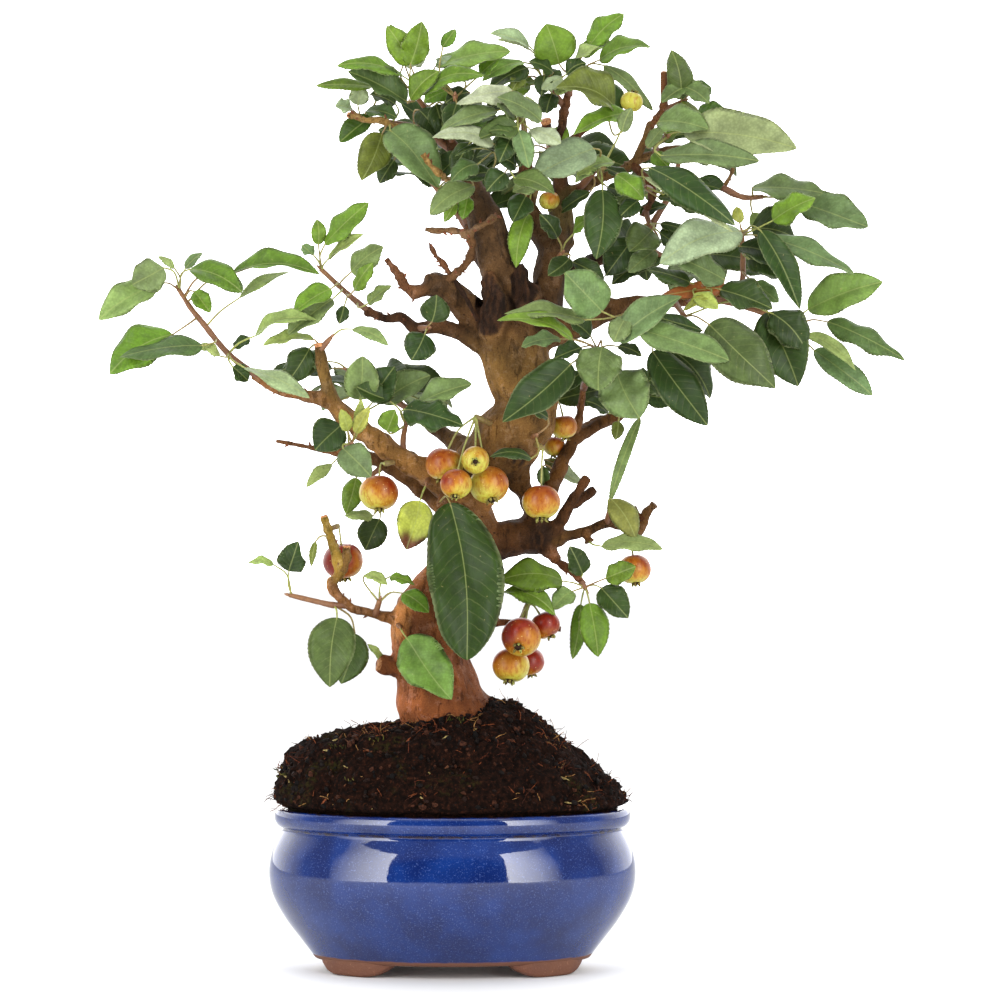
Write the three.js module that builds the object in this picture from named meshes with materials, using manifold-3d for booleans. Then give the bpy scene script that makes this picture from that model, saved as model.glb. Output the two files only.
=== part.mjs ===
// Crabapple bonsai in an oval glazed pot: one grown trunk with its limbs, leafy shoots with stalked
// leaves, bunches of fruit, a root ball of soil, and a footed pot with screened drain holes.
// Millimetres, +Z up, the front towards -Y. Every shape is laid out around the pot's centre, and
// the whole tree is moved at the end so that the middle of its bounding box is on the origin.
import * as THREE from "three";
import { mergeVertices } from "three/addons/utils/BufferGeometryUtils.js";
import Module from "manifold-3d";

const wasm = await Module();
wasm.setup();

const GAP = 0.3;
const WOOD_GAP = 0.35;
const SAME_POINT = 1e-4;

// Pot: half width and height along X; the oval is narrower along Y by OVAL_STEP.
const POT_SIDES = 28;
const OVAL_STEP = 30;
const BASE_RADIUS = 82.5;
const POT_FLOOR = 15;
const POT_OUTSIDE = [
  [82.5, 8], [91, 20], [100, 33], [107.5, 48], [110, 61], [107.5, 74], [101.5, 85], [104, 87],
  [106.5, 93], [106, 97],
];
const POT_INSIDE = [[99.5, 97], [97.5, 84], [103, 61], [84, POT_FLOOR]];
const FOOT_ANGLES = [16, 66];
const FOOT_WIDTH = 11;
const FOOT_HEIGHT = 12;
const FOOT_BEVEL = 2;
const HOLE_X = 35;
const HOLE_RADIUS = 6;
const HOLE_SIDES = 8;
const MESH_SIZE = 24;
const MESH_THICKNESS = 1;
const MESH_OPENING = 6;

// Root ball: height and reach of its surface, from the pot's rim to the middle, on both sides.
const SOIL_RIGHT = [[98.9, 98], [103, 101], [95, 113], [77, 128], [54, 148], [31, 160], [12, 157]];
const SOIL_LEFT = [[98.9, 98], [105.5, 102], [104, 112], [99, 124], [90, 135], [65, 142], [32, 146]];
const SOIL_MIDDLE = 152;
const SOIL_DEPTH_RATIO = 0.695;
const SOIL_LUMP = 1.8;
const SOIL_LUMPS_ROUND = [5, 9];

// Wood: the sides of each limb, and its middle line as x, y, z, radius.
const WOOD = [
  { name: "trunk", sides: 10, line: [
    [-3, 0, 118, 22], [-3, 0, 136, 32], [-3, 0, 148, 30], [-10, -1, 161, 24], [-12, -2, 180, 22.5],
    [-15, -3, 198, 21.5], [-15.5, -2, 212.5, 20], [-6, 0, 227, 17.5], [4, 2, 240, 17.5],
    [13, 4, 252, 16.5], [13, 5, 264, 14.5], [10, 5, 277, 13.5], [11, 4, 290, 15.5],
    [18, 3, 302, 18], [28, 2, 312, 20], [38, 0, 324, 20.5], [44, -2, 336, 19], [41, -3, 354, 19.5],
    [37, -2, 371, 21], [37, 0, 385, 18], [36, 0, 394, 12]] },
  { name: "trunk_right", sides: 7, line: [
    [36, 3, 308, 14], [38, 4, 298, 9], [41.5, 5, 289, 6.5], [46, 6, 280, 6], [50, 6, 271, 7.5],
    [52, 5, 262, 9]] },
  { name: "root_left", sides: 4, line: [[-12, 0, 142, 14], [-40, -6, 128, 9], [-66, -10, 112, 4]] },
  { name: "root_right", sides: 4, line: [[6, 0, 142, 14], [34, 8, 130, 9], [60, 14, 112, 4]] },
  { name: "root_front", sides: 4, line: [[-4, -8, 140, 13], [6, -32, 126, 8], [14, -48, 108, 4]] },
  { name: "root_back", sides: 4, line: [[-4, 8, 140, 13], [-10, 32, 128, 8], [-16, 50, 108, 4]] },
  { name: "leader_left", sides: 8, line: [
    [37, 0, 380, 16], [33, -2, 395, 14], [26, -4, 413, 13], [22, -5, 431, 12], [16, -4, 452, 10],
    [11, 0, 467, 8], [1, 6, 491, 5], [-8, 10, 509, 2.5]] },
  { name: "leader_right", sides: 7, line: [
    [42, 0, 372, 15], [52, 4, 384, 12], [57, 8, 404, 10.5], [61, 12, 432, 9], [67, 14, 442, 8]] },
  { name: "arm_left", sides: 5, line: [
    [60, 12, 430, 8], [48, 8, 452, 6], [43, 4, 467, 5], [46, 2, 492, 3]] },
  { name: "arm_right", sides: 5, line: [
    [66, 14, 440, 8], [66, 14, 461, 7], [74, 12, 468, 5], [89, 8, 475, 4], [108, 2, 484, 3],
    [119, -4, 508, 2]] },
  { name: "upright", sides: 4, line: [
    [66, 14, 458, 5.5], [64, 12, 485, 4.2], [67, 6, 515, 3], [70, 2, 528, 2]] },
  { name: "side_twig", sides: 4, line: [[66, 11, 493, 3], [78, 4, 503, 2.2], [87, 0, 510, 1.6]] },
  { name: "cut_stub_top", sides: 5, line: [[65, 11, 490, 4], [58, 4, 502, 4], [56, 0, 509, 3.6]] },
  { name: "top_stub", sides: 4, line: [[118, -3, 505, 2.4], [126, 0, 515, 2.6], [127, 2, 538, 2]] },
  { name: "upper_right", sides: 4, line: [
    [104, 3, 482, 3.4], [122, 2, 490, 3], [140, 2, 491, 2.6], [167, 2, 482, 2], [162, 0, 467, 1.7]] },
  { name: "upper_right_low", sides: 4, line: [[108, 2, 484, 2.6], [120, 4, 467, 2.4], [115, 2, 452, 2]] },
  { name: "left_upper", sides: 6, line: [
    [26, -2, 380, 13], [9, -6, 396, 9], [-1, -12, 406, 7.5], [-9, -16, 410, 8], [-16, -20, 407, 5],
    [-23, -23, 405, 3.6], [-39, -26, 424, 2.2]] },
  { name: "left_upper_twig", sides: 4, line: [
    [-8, -16, 409, 3.6], [0, -18, 418, 2.8], [9, -18, 428, 2.6], [10, -18, 437, 2.3], [6, -18, 442, 2]] },
  { name: "cross_twig", sides: 4, line: [
    [-16, -20, 442, 1.2], [-4, -19, 441, 1.8], [8, -18, 439, 2.2], [25, -22, 448, 1.3]] },
  { name: "thin_twig", sides: 4, line: [[0, -17, 414, 2], [8, -21, 402, 1.4], [15, -25, 388, 1]] },
  { name: "short_twig", sides: 4, line: [[2, -16, 411, 2], [-4, -19, 420, 1.6], [-10, -20, 428, 1.2]] },
  { name: "left_middle", sides: 5, line: [
    [26, -4, 372, 9], [8, -10, 380, 5.5], [-8, -12, 385, 4.5], [-22, -10, 384, 4], [-31, -7, 391, 3.5],
    [-38, -5, 390, 3.2], [-52, 0, 395, 2.8]] },
  { name: "left_long", sides: 6, line: [
    [20, 2, 286, 13], [1, -5, 287, 9.5], [-13, -11, 297, 8], [-31, -14, 307, 7], [-46, -16, 318, 6.5],
    [-64, -18, 332, 6], [-76, -18, 341, 4.8], [-91, -14, 344, 3.6], [-105, -10, 348, 3.2],
    [-119, -6, 356, 2.8]] },
  { name: "left_lower", sides: 5, line: [
    [12, 4, 274, 9], [-4, 8, 279, 6.5], [-24, 12, 292, 5], [-43, 12, 304, 4.4], [-56, 6, 308, 3.6],
    [-64, -1, 309, 3.4], [-72, -4, 323, 3]] },
  { name: "left_thin", sides: 4, line: [[-62, 0, 308, 2.4], [-85, 2, 313, 1.5], [-106, 4, 317, 1]] },
  { name: "stub_tall", sides: 5, line: [
    [-68, -18, 334, 4.8], [-76, -19, 356, 4], [-79, -19, 374, 3.4]] },
  { name: "low_left", sides: 5, line: [
    [-20, -3, 212, 7], [-32, -7, 210.5, 4.6], [-50, -14, 214.5, 3.5], [-65, -18, 220, 3.4],
    [-72, -20, 234, 3.1], [-74, -22, 255, 3], [-75, -23, 271, 3]] },
  { name: "low_knob", sides: 6, line: [[-20, -4, 180, 8], [-32, -8, 181, 6.4], [-44, -10, 184, 5.2]] },
  { name: "low_right", sides: 4, line: [
    [0, 0, 202, 4], [14, 1, 204, 2.6], [29, 1, 208, 2.1], [53, 1, 205, 1.8], [65, 0, 204, 1.4]] },
  { name: "junction", sides: 6, line: [
    [12, 4, 250, 14], [28, 5, 256, 12], [40, 6, 259.5, 12], [51, 5, 258.5, 9.5], [60, 3, 263, 6.4],
    [66, 1, 271, 4.6], [72, -1, 281, 4.2], [76, -3, 288, 3.4], [81, -4, 295, 3.2]] },
  { name: "junction_stub", sides: 5, line: [[70, 0, 278, 3.6], [76, 2, 281, 3.2], [85.5, 5, 288, 3.1]] },
  { name: "junction_right", sides: 5, line: [
    [56, 4, 256.5, 6.5], [70, 4, 260, 4.2], [81, 5, 263, 3.9], [93, 7, 267.5, 3.5],
    [104, 8, 265.5, 3.2], [113, 8, 262.5, 3], [116.5, 7, 273.5, 3], [121.5, 5, 279, 2.8]] },
  { name: "junction_low", sides: 4, line: [
    [56, 2, 253, 5], [64, 0, 244, 2.8], [71, -2, 239, 2.3], [79, -3, 231, 1.8]] },
  { name: "middle_right", sides: 5, line: [
    [44, 9, 262, 8], [56, 13, 279, 5.4], [63, 16, 297, 4.4], [73, 20, 317, 4.2], [82, 24, 324, 4],
    [98, 28, 332, 3.8], [112, 30, 341, 3.3]] },
  { name: "spur_twig", sides: 4, line: [[74, 21, 319, 3], [77, 16, 335, 2.2], [79, 10, 351, 1.6]] },
  { name: "right_main", sides: 6, line: [
    [44, 0, 374, 13], [56, 0, 380, 10], [73, -2, 386, 8.4], [91, -5, 394, 6.8], [112, -7, 398, 5.2],
    [136, -8, 401, 4.2], [157, -6, 402, 3.3], [166, -5, 404, 2.9]] },
  { name: "back_upper", sides: 5, line: [
    [38, 6, 378, 11], [32, 30, 396, 7], [20, 50, 424, 5], [8, 66, 452, 3]] },
  { name: "back_right", sides: 5, line: [
    [58, 10, 408, 8], [80, 34, 424, 5.4], [104, 54, 440, 4], [124, 66, 452, 2.6]] },
  { name: "back_low", sides: 5, line: [[73, 20, 317, 4.2], [84, 40, 327, 3.6], [98, 57, 334, 3]] },
  { name: "back_left", sides: 5, line: [
    [24, 8, 300, 11], [2, 34, 316, 6], [-26, 58, 336, 3]] },
];
const BARK_RIDGES = 0.05;
const RIDGES_ROUND = [3, 5];
const RIDGES_ALONG = [9, -14];

// Fruit: bunches with the spur they hang from, and each fruit's middle, radius and calyx side.
const FRUIT_SIDES = 7;
const FRUIT_PROFILE = [
  [0, -0.84], [0.5, -0.9], [0.95, -0.4], [0.95, 0.3], [0.5, 0.86], [0.2, 0.92], [0.34, 1.22], [0, 1.1]];
const FRUIT_STALK_RADIUS = 0.8;
const FRUIT_STALK_SIDES = 3;
const FRUIT_STALK_ENDS = { inside: 0.7, bend: 1.5 };
const SPUR_SIDES = 5;
const BUNCHES = [
  { name: "fruit_trunk_front", stem: [[30, -6, 324, 2.2], [14, -26, 331, 1.6]], fruits: [
    [-4.5, -30, 302.5, 11.4, [-0.2, -0.1, -1]], [14, -43.5, 305, 8.4, [0, -1, -0.15]],
    [2.7, -47, 291, 9.6, [-0.1, -0.5, -1]], [22, -30, 290.5, 12, [0.2, -0.5, -1]]] },
  { name: "fruit_hanging", stem: [[46, -6, 318, 2.2], [54, -22, 312, 1.5]], fruits: [
    [53, -19, 280.3, 11.7, [0, -0.15, -1]]] },
  { name: "fruit_behind", stem: [[50, 6, 338, 2.2], [62, 20, 342, 1.5]], fruits: [
    [67, 5, 325.5, 8.2, [0.1, 0, -1]], [61.5, 23, 314, 7, [-0.1, 0, -1]]] },
  { name: "fruit_left", stem: [[-30, -15, 305, 2], [-40, -24, 303, 1.5]], fruits: [
    [-43.5, -22, 285.7, 12, [0, -0.25, -1]]] },
  { name: "fruit_stub", stem: [[-74, -22, 264, 2], [-68, -12, 266, 1.5]], fruits: [
    [-65.7, -1, 245, 12.4, [0.1, 0.1, -1]]] },
  { name: "fruit_right", stem: [[104, 8, 268, 2], [106, 1, 262, 1.5]], fruits: [
    [109, -5, 240, 10.2, [0.1, -0.2, -1]]] },
  { name: "fruit_low", stem: [[40, 1, 206.5, 1.9], [45, -12, 219, 1.6]], fruits: [
    [41, -32, 200.5, 12, [-0.2, -0.9, -0.6]], [55.5, -16, 207, 9, [0.5, -0.2, -1]],
    [35, -16, 183, 11.4, [-0.1, -0.3, -1]], [46, 3, 184.3, 9.4, [0.2, 0.1, -1]]] },
  { name: "fruit_upright", stem: [[88, 8, 475, 2], [91, 2, 483, 1.5]], fruits: [
    [107, -14, 519, 6.9, [0.25, -0.1, 1]]] },
  { name: "fruit_inner", stem: [[47, 8, 455, 2], [52, 0, 474, 1.5]], fruits: [
    [58, -2, 461, 6.4, [0.1, 0, -1]]] },
];

// Leafy shoots. stem is the shoot's middle line as x, y, z, from inside the limb that bears it.
// A leaf is the foot and the tip of its blade (x, y, z each), its width, the tilt of its upper face
// (0 up, 90 towards the front) and its kind. forward is how far the whole shoot leans out.
const STEM_RADIUS = 2;
const STEM_SIDES = 4;
const LEAF_STALK_RADIUS = 0.65;
const LEAF_STALK_FLATNESS = 0.8;
const STALK_IN_BLADE = 0.6;
const STALK_SUNK = 1.5;
const LONG_STALK = 22;
const STALK_BEND = 0.3;
const BLADE_THICKNESS = 0.8;
const BLADE_BIAS = 0.75;
const BLADE_FULLNESS = 0.8;
const BLADE_ARCH = {
  dark: 0.1, grey: 0.08, bright: 0.1, pale: 0.12, young: 0.06, olive: 0.12, large: 0.05,
};
const BLADE_STATIONS = [
  { upTo: 24, at: [0.42, 1] }, { upTo: 54, at: [0.27, 0.66, 1] }, { upTo: 200, at: [0.2, 0.48, 0.78, 1] },
];
const SHOOTS = [
  { name: "shoot_crown_left", stem: [
    [2, 6, 490], [-20, 8, 505], [-40, 6, 509], [-57, 5, 512]], leaves: [
    [-52, 2, 515, -33, -6, 510, 14, 45, "bright"], [-61.5, 4, 509, -67.5, -4, 495, 12, 70, "bright"],
    [-50, 0, 527, -80, -6, 524.5, 18, 30, "dark"], [-42, -4, 501, -54, -12, 472, 20, 75, "olive"],
    [-37, -14, 502, -8, -32, 466, 31, 65, "dark"], [-20, 0, 515, -8, -4, 498, 15, 70, "dark"],
    [-34, 2, 519, -50, 6, 525, 14, 50, "dark"]] },
  { name: "shoot_crown_left_top", forward: 10, stem: [[-6, 9, 506], [-14, 4, 514], [-22, 0, 523]], leaves: [
    [-25, -6, 541, -34, -14, 564, 28, 78, "bright"], [-30, 6, 546, -37.5, 10, 567, 9, 60, "bright"],
    [-29, -4, 534, -68.7, -10, 539.5, 22, 45, "bright"], [-27, -10, 519, -62, -18, 536, 24, 52, "grey"],
    [-18, -14, 521, 20, -26, 531, 22, 48, "bright"]] },
  { name: "shoot_crown_middle_left", forward: 16, stem: [[-1, 7, 496], [2, -6, 508], [2, -14, 521]], leaves: [
    [-10, -12, 540, 35, -22, 548.5, 24, 45, "dark"], [-2, -6, 537.5, 22.5, -10, 547.5, 18, 35, "dark"],
    [3, -16, 516, -1, -18, 499, 13, 70, "dark"]] },
  { name: "shoot_crown_middle", forward: 36, stem: [[46, 2, 488], [43, -8, 501], [41, -12, 512]], leaves: [
    [36, -16, 521, 3, -24, 512.5, 18, 45, "pale"], [38, -18, 505, 26, -24, 516, 14, 50, "pale"],
    [27, -22, 503, -10, -32, 491.5, 22, 55, "grey"], [22, -12, 499, -8, -16, 506, 16, 40, "grey"],
    [46, -22, 498, 64, -30, 489, 15, 45, "pale"], [43, -16, 496, 40, -20, 476, 12, 70, "dark"],
    [35, -18, 494, 28, -24, 478, 14, 70, "dark"]] },
  { name: "shoot_crown_top_left", stem: [[67, 5, 518], [60, 0, 527], [54, -4, 533]], leaves: [
    [46, -6, 553, 22.5, -10, 560, 14, 45, "pale"], [45, -8, 540, 22.5, -16, 526, 18, 50, "dark"]] },
  { name: "shoot_crown_top", stem: [[70, 2, 524], [71, 0, 532], [75, 0, 538]], leaves: [
    [64, -4, 542.5, 56, -10, 566, 27, 75, "bright"], [73, -4, 544, 88, -10, 552, 12, 40, "pale"],
    [78, 4, 548, 97.5, 10, 556.5, 14, 45, "bright"], [82, 2, 554, 103, 6, 574, 16, 55, "bright"],
    [88, -4, 545, 119, -12, 551.5, 20, 45, "bright"], [90, -8, 541, 119.7, -16, 514.3, 13, 50, "grey"]] },
  { name: "shoot_crown_right", forward: 30, stem: [[84, 1, 508], [92, -4, 511]], leaves: [
    [96, -14, 513, 61, -26, 522.5, 27, 58, "olive"], [98, 14, 512, 90, 24, 532, 17, 60, "dark"],
    [94, -20, 506, 73, -30, 497, 20, 55, "bright"]] },
  { name: "shoot_crown_inner", forward: 14, stem: [[76, 11, 469], [84, 0, 477], [87, -8, 481]], leaves: [
    [84, -22, 489, 47.7, -34, 471, 27, 55, "grey"], [89, -20, 465, 85, -30, 423, 23, 82, "dark"],
    [92, -14, 467, 111, -20, 460, 12, 45, "dark"]] },
  { name: "shoot_between", stem: [[44, 4, 466], [48, -7, 470]], leaves: [
    [57, -12, 471, 36, -20, 464.5, 15, 52, "grey"], [44, -11, 463, 36, -18, 447, 16, 78, "dark"],
    [45, -6, 453, 38, -12, 420, 14, 70, "bright"]] },
  { name: "shoot_leader", stem: [[60, 11, 424], [66, -2, 430]], leaves: [
    [70, -10, 426, 57, -18, 415, 13, 60, "dark"], [63, -10, 438, 52, -14, 452, 12, 60, "dark"],
    [72, -12, 440, 84, -22, 448, 13, 50, "bright"]] },
  { name: "shoot_upper_right_top", stem: [[126, 0, 515], [133, 0, 518], [139, 0, 521]], leaves: [
    [138, 0, 530, 131, -6, 551, 20, 72, "grey"], [148, 4, 514, 166, 8, 519, 14, 45, "dark"]] },
  { name: "shoot_upper_right", forward: 18, stem: [[122, 2, 490], [122, -8, 494], [128, -14, 497]], leaves: [
    [122, -18, 505, 151, -30, 499, 21, 60, "grey"], [141, -24, 503.5, 201, -42, 489.5, 33, 62, "grey"],
    [128, -20, 489.5, 179.7, -34, 485, 18, 42, "pale"]] },
  { name: "shoot_upper_right_low", forward: 26, stem: [[119, 4, 468], [114, -6, 467]], leaves: [
    [115, -22, 471, 163.5, -44, 440, 30, 60, "grey"], [110, -14, 462, 98, -20, 475, 15, 60, "young"],
    [122, -2, 461, 142, 0, 454, 12, 50, "dark"]] },
  { name: "shoot_right_inner", stem: [[116, 3, 455], [118, -6, 446]], leaves: [
    [119, -18, 442, 105, -30, 428.5, 21, 75, "bright"], [108, -4, 438, 92, -2, 416, 20, 70, "dark"],
    [119, -2, 434, 106, 4, 417, 16, 65, "dark"], [124, -2, 442, 140, 6, 432, 16, 60, "dark"]] },
  { name: "shoot_far_right", forward: 16, stem: [
    [160, -6, 402], [172, -6, 410], [173, -8, 424], [172, -9, 440]], leaves: [
    [170, -30, 439.5, 121.5, -50, 419, 27, 60, "grey"], [178, -2, 443, 205, 6, 438, 20, 60, "dark"],
    [190, -12, 447, 215, -18, 460, 18, 60, "bright"], [187, -18, 436, 236.7, -30, 414, 24, 55, "grey"],
    [182, -24, 440, 204, -34, 393, 25, 75, "dark"], [176, -16, 424, 195, -24, 413, 18, 65, "dark"],
    [179, -14, 410, 193, -20, 398, 12, 60, "grey"], [186, -28, 392, 203, -38, 348, 31, 72, "dark"]] },
  { name: "shoot_far_right_top", stem: [[162, 0, 469], [174, -3, 463], [186, -5, 463]], leaves: [
    [179, -10, 468, 221, -18, 464, 20, 45, "bright"], [208, -12, 459, 247, -24, 443.5, 24, 65, "grey"]] },
  { name: "shoot_far_right_low", stem: [
    [152, -6, 402], [168, -10, 399], [186, -12, 393], [206, -15, 385]], leaves: [
    [223, -20, 387.5, 268, -32, 364, 16, 60, "grey"], [211, -22, 380, 239, -30, 358, 10, 55, "pale"],
    [216, -10, 371, 250.5, -14, 344, 16, 65, "grey"], [212, -14, 395, 256, -22, 411, 24, 68, "bright"]] },
  { name: "shoot_right_middle", forward: 30, stem: [[140, -8, 401], [147, -18, 407]], leaves: [
    [160, -26, 410.5, 128.7, -38, 424, 20, 60, "grey"], [140, -20, 409, 114, -26, 416, 14, 50, "grey"],
    [142, -24, 402, 156, -30, 393, 12, 55, "young"], [158, -18, 405, 188, -26, 393, 20, 55, "bright"]] },
  { name: "shoot_right_near", forward: 34, stem: [[112, -7, 399], [106, -20, 392]], leaves: [
    [109, -26, 395, 132, -34, 405, 16, 55, "pale"], [102, -30, 388, 94.5, -38, 373, 14, 70, "pale"],
    [88, -34, 391, 66, -46, 413, 27, 80, "grey"], [78, -28, 386.5, 31, -38, 389.5, 15, 45, "bright"],
    [109, -34, 381, 160.5, -52, 362, 23, 50, "grey"]] },
  { name: "shoot_right_low", forward: 26, stem: [[132, -8, 401], [137, -22, 389]], leaves: [
    [150, -38, 384, 187.5, -56, 346, 33, 75, "grey"], [130, -8, 370, 153, -2, 341.5, 20, 65, "dark"],
    [118, -20, 369, 150, -28, 325, 25, 72, "dark"]] },
  { name: "shoot_fork_right", forward: 30, stem: [[79, 10, 349], [82, -2, 361], [86, -10, 371]], leaves: [
    [97, -20, 357, 110, -30, 329, 31, 82, "bright"], [88, -30, 371, 85.5, -42, 345, 27, 84, "grey"],
    [70, -24, 378, 26.7, -38, 386.5, 14, 40, "pale"], [64, -18, 376, 41, -26, 371, 12, 45, "grey"],
    [76, -22, 371, 60, -30, 364, 12, 50, "dark"], [70, -32, 361, 30, -50, 326.5, 25, 65, "dark"],
    [76, -18, 356, 61, -24, 341.5, 12, 65, "dark"]] },
  { name: "shoot_middle_right", stem: [[98, 28, 332], [102, 20, 338]], leaves: [
    [113, 14, 331, 94, 4, 278.5, 13, 60, "bright"], [110, 28, 348, 132, 40, 354, 20, 60, "dark"]] },
  { name: "shoot_trunk", stem: [[46, -8, 318], [50, -24, 320]], leaves: [
    [47, -34, 306, 22.5, -42, 307, 10, 45, "dark"]] },
  { name: "shoot_far_left", forward: 12, stem: [
    [-114, -7, 353], [-134, -4, 369], [-149, 0, 387], [-157, 3, 397], [-164, 6, 408]], leaves: [
    [-172, -2, 420, -190, -8, 409.5, 21, 75, "bright"], [-176, 6, 411, -211, 0, 389, 20, 62, "bright"],
    [-156, -4, 419, -124.5, -12, 404.5, 19, 50, "bright"],
    [-131, 0, 417, -78, -10, 412.3, 15, 38, "bright"], [-142, -8, 415, -124, -14, 406, 13, 50, "grey"],
    [-127, 4, 402.5, -97.5, 8, 418, 9, 40, "pale"], [-166, -8, 380, -202.5, -18, 356, 26, 65, "bright"],
    [-148, -12, 373, -196, -22, 365.5, 19, 42, "grey"],
    [-117, -10, 379, -79.5, -20, 387.7, 13, 45, "young"],
    [-123, -14, 360, -83.7, -28, 341.5, 14, 35, "pale"]] },
  { name: "shoot_left_middle", forward: 16, stem: [
    [-48, -1, 393], [-57, 3, 400], [-65, 6, 407], [-79, 10, 420]], leaves: [
    [-76, 4, 434, -49.5, -2, 458.5, 17, 50, "bright"], [-74, 2, 425, -52.5, -6, 439.5, 10, 40, "pale"],
    [-60, -4, 417, -40.5, -12, 431.5, 18, 58, "grey"], [-58, -6, 406, -46.5, -12, 422, 12, 50, "bright"],
    [-50, -6, 398, -35.7, -10, 408.7, 10, 50, "grey"], [-72, -6, 407, -94, -14, 392, 16, 50, "bright"],
    [-71, -10, 401, -97, -20, 379.3, 18, 55, "grey"]] },
  { name: "shoot_stub", stem: [[-79, -19, 370], [-72, -22, 378]], leaves: [
    [-59, -24, 383, -37.5, -29, 373, 12, 50, "young"], [-82, -20, 377, -112.5, -24, 373, 10, 40, "pale"],
    [-85, -12, 372, -98, -10, 352, 18, 70, "dark"]] },
  { name: "shoot_left_pair", stem: [[-20, -11, 384], [-14, -20, 384]], leaves: [
    [-16, -26, 380, -24, -30, 364, 20, 82, "dark"]] },
  { name: "shoot_left_limb", stem: [[-53, -17, 323], [-53, -14, 335]], leaves: [
    [-55, -18, 341, -53, -24, 367, 21, 78, "grey"], [-47, -16, 340, -34, -20, 361, 21, 72, "dark"],
    [-42, -8, 340, -13, -10, 356, 19, 62, "grey"]] },
  { name: "shoot_left_inner", forward: 14, stem: [[-29, -14, 305], [-29, -14, 318], [-27, -16, 327]], leaves: [
    [-28, -24, 335, 7, -38, 325, 22, 52, "dark"], [-20, -18, 339, 12, -26, 350, 18, 45, "grey"]] },
  { name: "shoot_left_front", forward: 16, stem: [[-64, -1, 309], [-62, -12, 313], [-59, -20, 315]], leaves: [
    [-66, -8, 326, -81, -12, 311, 22, 80, "dark"], [-57, -24, 321, -48, -30, 336, 9, 60, "young"],
    [-55, -26, 324, -53, -32, 341, 6, 60, "young"], [-64, -26, 312, -47, -36, 295, 19, 78, "grey"],
    [-71, -12, 303, -86, -18, 289, 8, 50, "pale"]] },
  { name: "shoot_left_hang", stem: [[-40, 12, 303], [-50, 12, 296]], leaves: [
    [-58, 6, 295, -64, 2, 273, 13, 65, "bright"], [-48, 10, 272, -65, 4, 272, 10, 45, "pale"],
    [-44, 14, 270, -53, 16, 251, 18, 80, "dark"]] },
  { name: "shoot_yellow_leaf", stem: [[-13, -11, 297], [-15, -24, 291]], leaves: [
    [-19, -27, 281, -27, -32, 252, 22, 80, "young"]] },
  { name: "shoot_front_leaf", stem: [[-5, -8, 287], [-8, -22, 279]], leaves: [
    [-1, -38, 280, 9.3, -60, 188, 45, 87, "large"]] },
  { name: "shoot_trunk_low", stem: [[-33, -8, 208], [-31, -20, 206]], leaves: [
    [-27, -28, 200, 0, -42, 164, 29, 78, "bright"]] },
  { name: "shoot_low_left", stem: [
    [-62, -17, 219], [-70, -22, 219], [-80, -20, 221], [-97, -18, 225]], leaves: [
    [-68, -28, 212, -72, -36, 171, 28, 84, "bright"], [-58, -14, 202, -66, -18, 172, 21, 78, "bright"],
    [-97, -21, 239, -91, -28, 257, 17, 72, "dark"]] },
  { name: "shoot_low_inner", stem: [[-46, -14, 213], [-43, -19, 222]], leaves: [
    [-34, -24, 224, -19, -30, 215, 10, 50, "bright"]] },
  { name: "shoot_junction", stem: [[77, -3, 233], [80, -4, 228]], leaves: [
    [66, -8, 233, 28, -16, 233.5, 23, 55, "bright"], [72, -8, 227, 60, -14, 216, 13, 60, "pale"],
    [78, -6, 237, 70, -12, 254, 14, 65, "dark"], [90, -2, 236, 106, 2, 243, 12, 50, "dark"],
    [82, -10, 220, 87, -16, 188, 18, 82, "bright"], [89, -6, 229, 105, -12, 211, 18, 72, "dark"],
    [77, 0, 219, 72, -2, 186, 10, 60, "bright"]] },
  { name: "shoot_low_right", stem: [[27, 1, 208], [24, -8, 215]], leaves: [
    [31, -14, 227, 61.5, -22, 213, 14, 45, "bright"], [19, -16, 222, 4, -28, 229, 13, 50, "bright"]] },
  { name: "shoot_right_stub", stem: [[93, 6, 268], [94, -2, 276]], leaves: [
    [95, -8, 282, 109.5, -14, 258.5, 22, 75, "olive"], [93, -10, 252, 125, -16, 252, 10, 40, "pale"]] },
];

// Leafy shoots at the back, where leaves stand around each stem by rule.
const BACK_SHOOTS = [
  { name: "back_shoot_top", stem: [[9, 64, 450], [0, 74, 474], [4, 68, 500]], length: 42 },
  { name: "back_shoot_left", stem: [[14, 58, 438], [4, 74, 456], [-22, 72, 488]], length: 32 },
  { name: "back_shoot_middle", stem: [[64, 14, 470], [62, 40, 482], [58, 58, 500]], length: 40 },
  { name: "back_shoot_right", stem: [[122, 65, 451], [134, 66, 472], [140, 56, 496]], length: 34 },
  { name: "back_shoot_far_right", stem: [[106, 55, 441], [132, 72, 432], [160, 66, 424]], length: 42 },
  { name: "back_shoot_low_right", stem: [[97, 56, 334], [106, 68, 344], [120, 66, 352]], length: 34 },
  { name: "back_shoot_low_left", stem: [[-24, 57, 335], [-44, 68, 348], [-66, 62, 362]], length: 40 },
];
const BACK_LEAVES = 5;
const BACK_LEAVES_FROM = 0.35;
const GOLDEN_ANGLE = 2.39996;
const BACK_STALK = 14;
const BACK_WIDTH_RATIO = 0.56;
const BACK_SIZES = { least: 0.72, more: 0.4 };
const BACK_DROOP = 0.55;

// Room between leaves: a leaf's own depth is tried first, then further and further forward and back.
const DEPTH_STEP = 3;
const DEPTH_TRIES = 20;
const FOOT_FOLLOWS = 0.6;
const CLEARANCE = 0.75;

const COLOURS = {
  glaze: { color: 0x2c53a8, roughness: 0.12, metalness: 0 },
  screen: { color: 0x1f2321, roughness: 0.7, metalness: 0 },
  soil: { color: 0x2e211a, roughness: 0.95, metalness: 0 },
  bark: { color: 0x8a6f52, roughness: 0.85, metalness: 0 },
  leaf: { color: 0x3f6b35, roughness: 0.5, metalness: 0 },
  fruit: { color: 0xc8743a, roughness: 0.3, metalness: 0 },
};

const tree = new THREE.Group();

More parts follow.
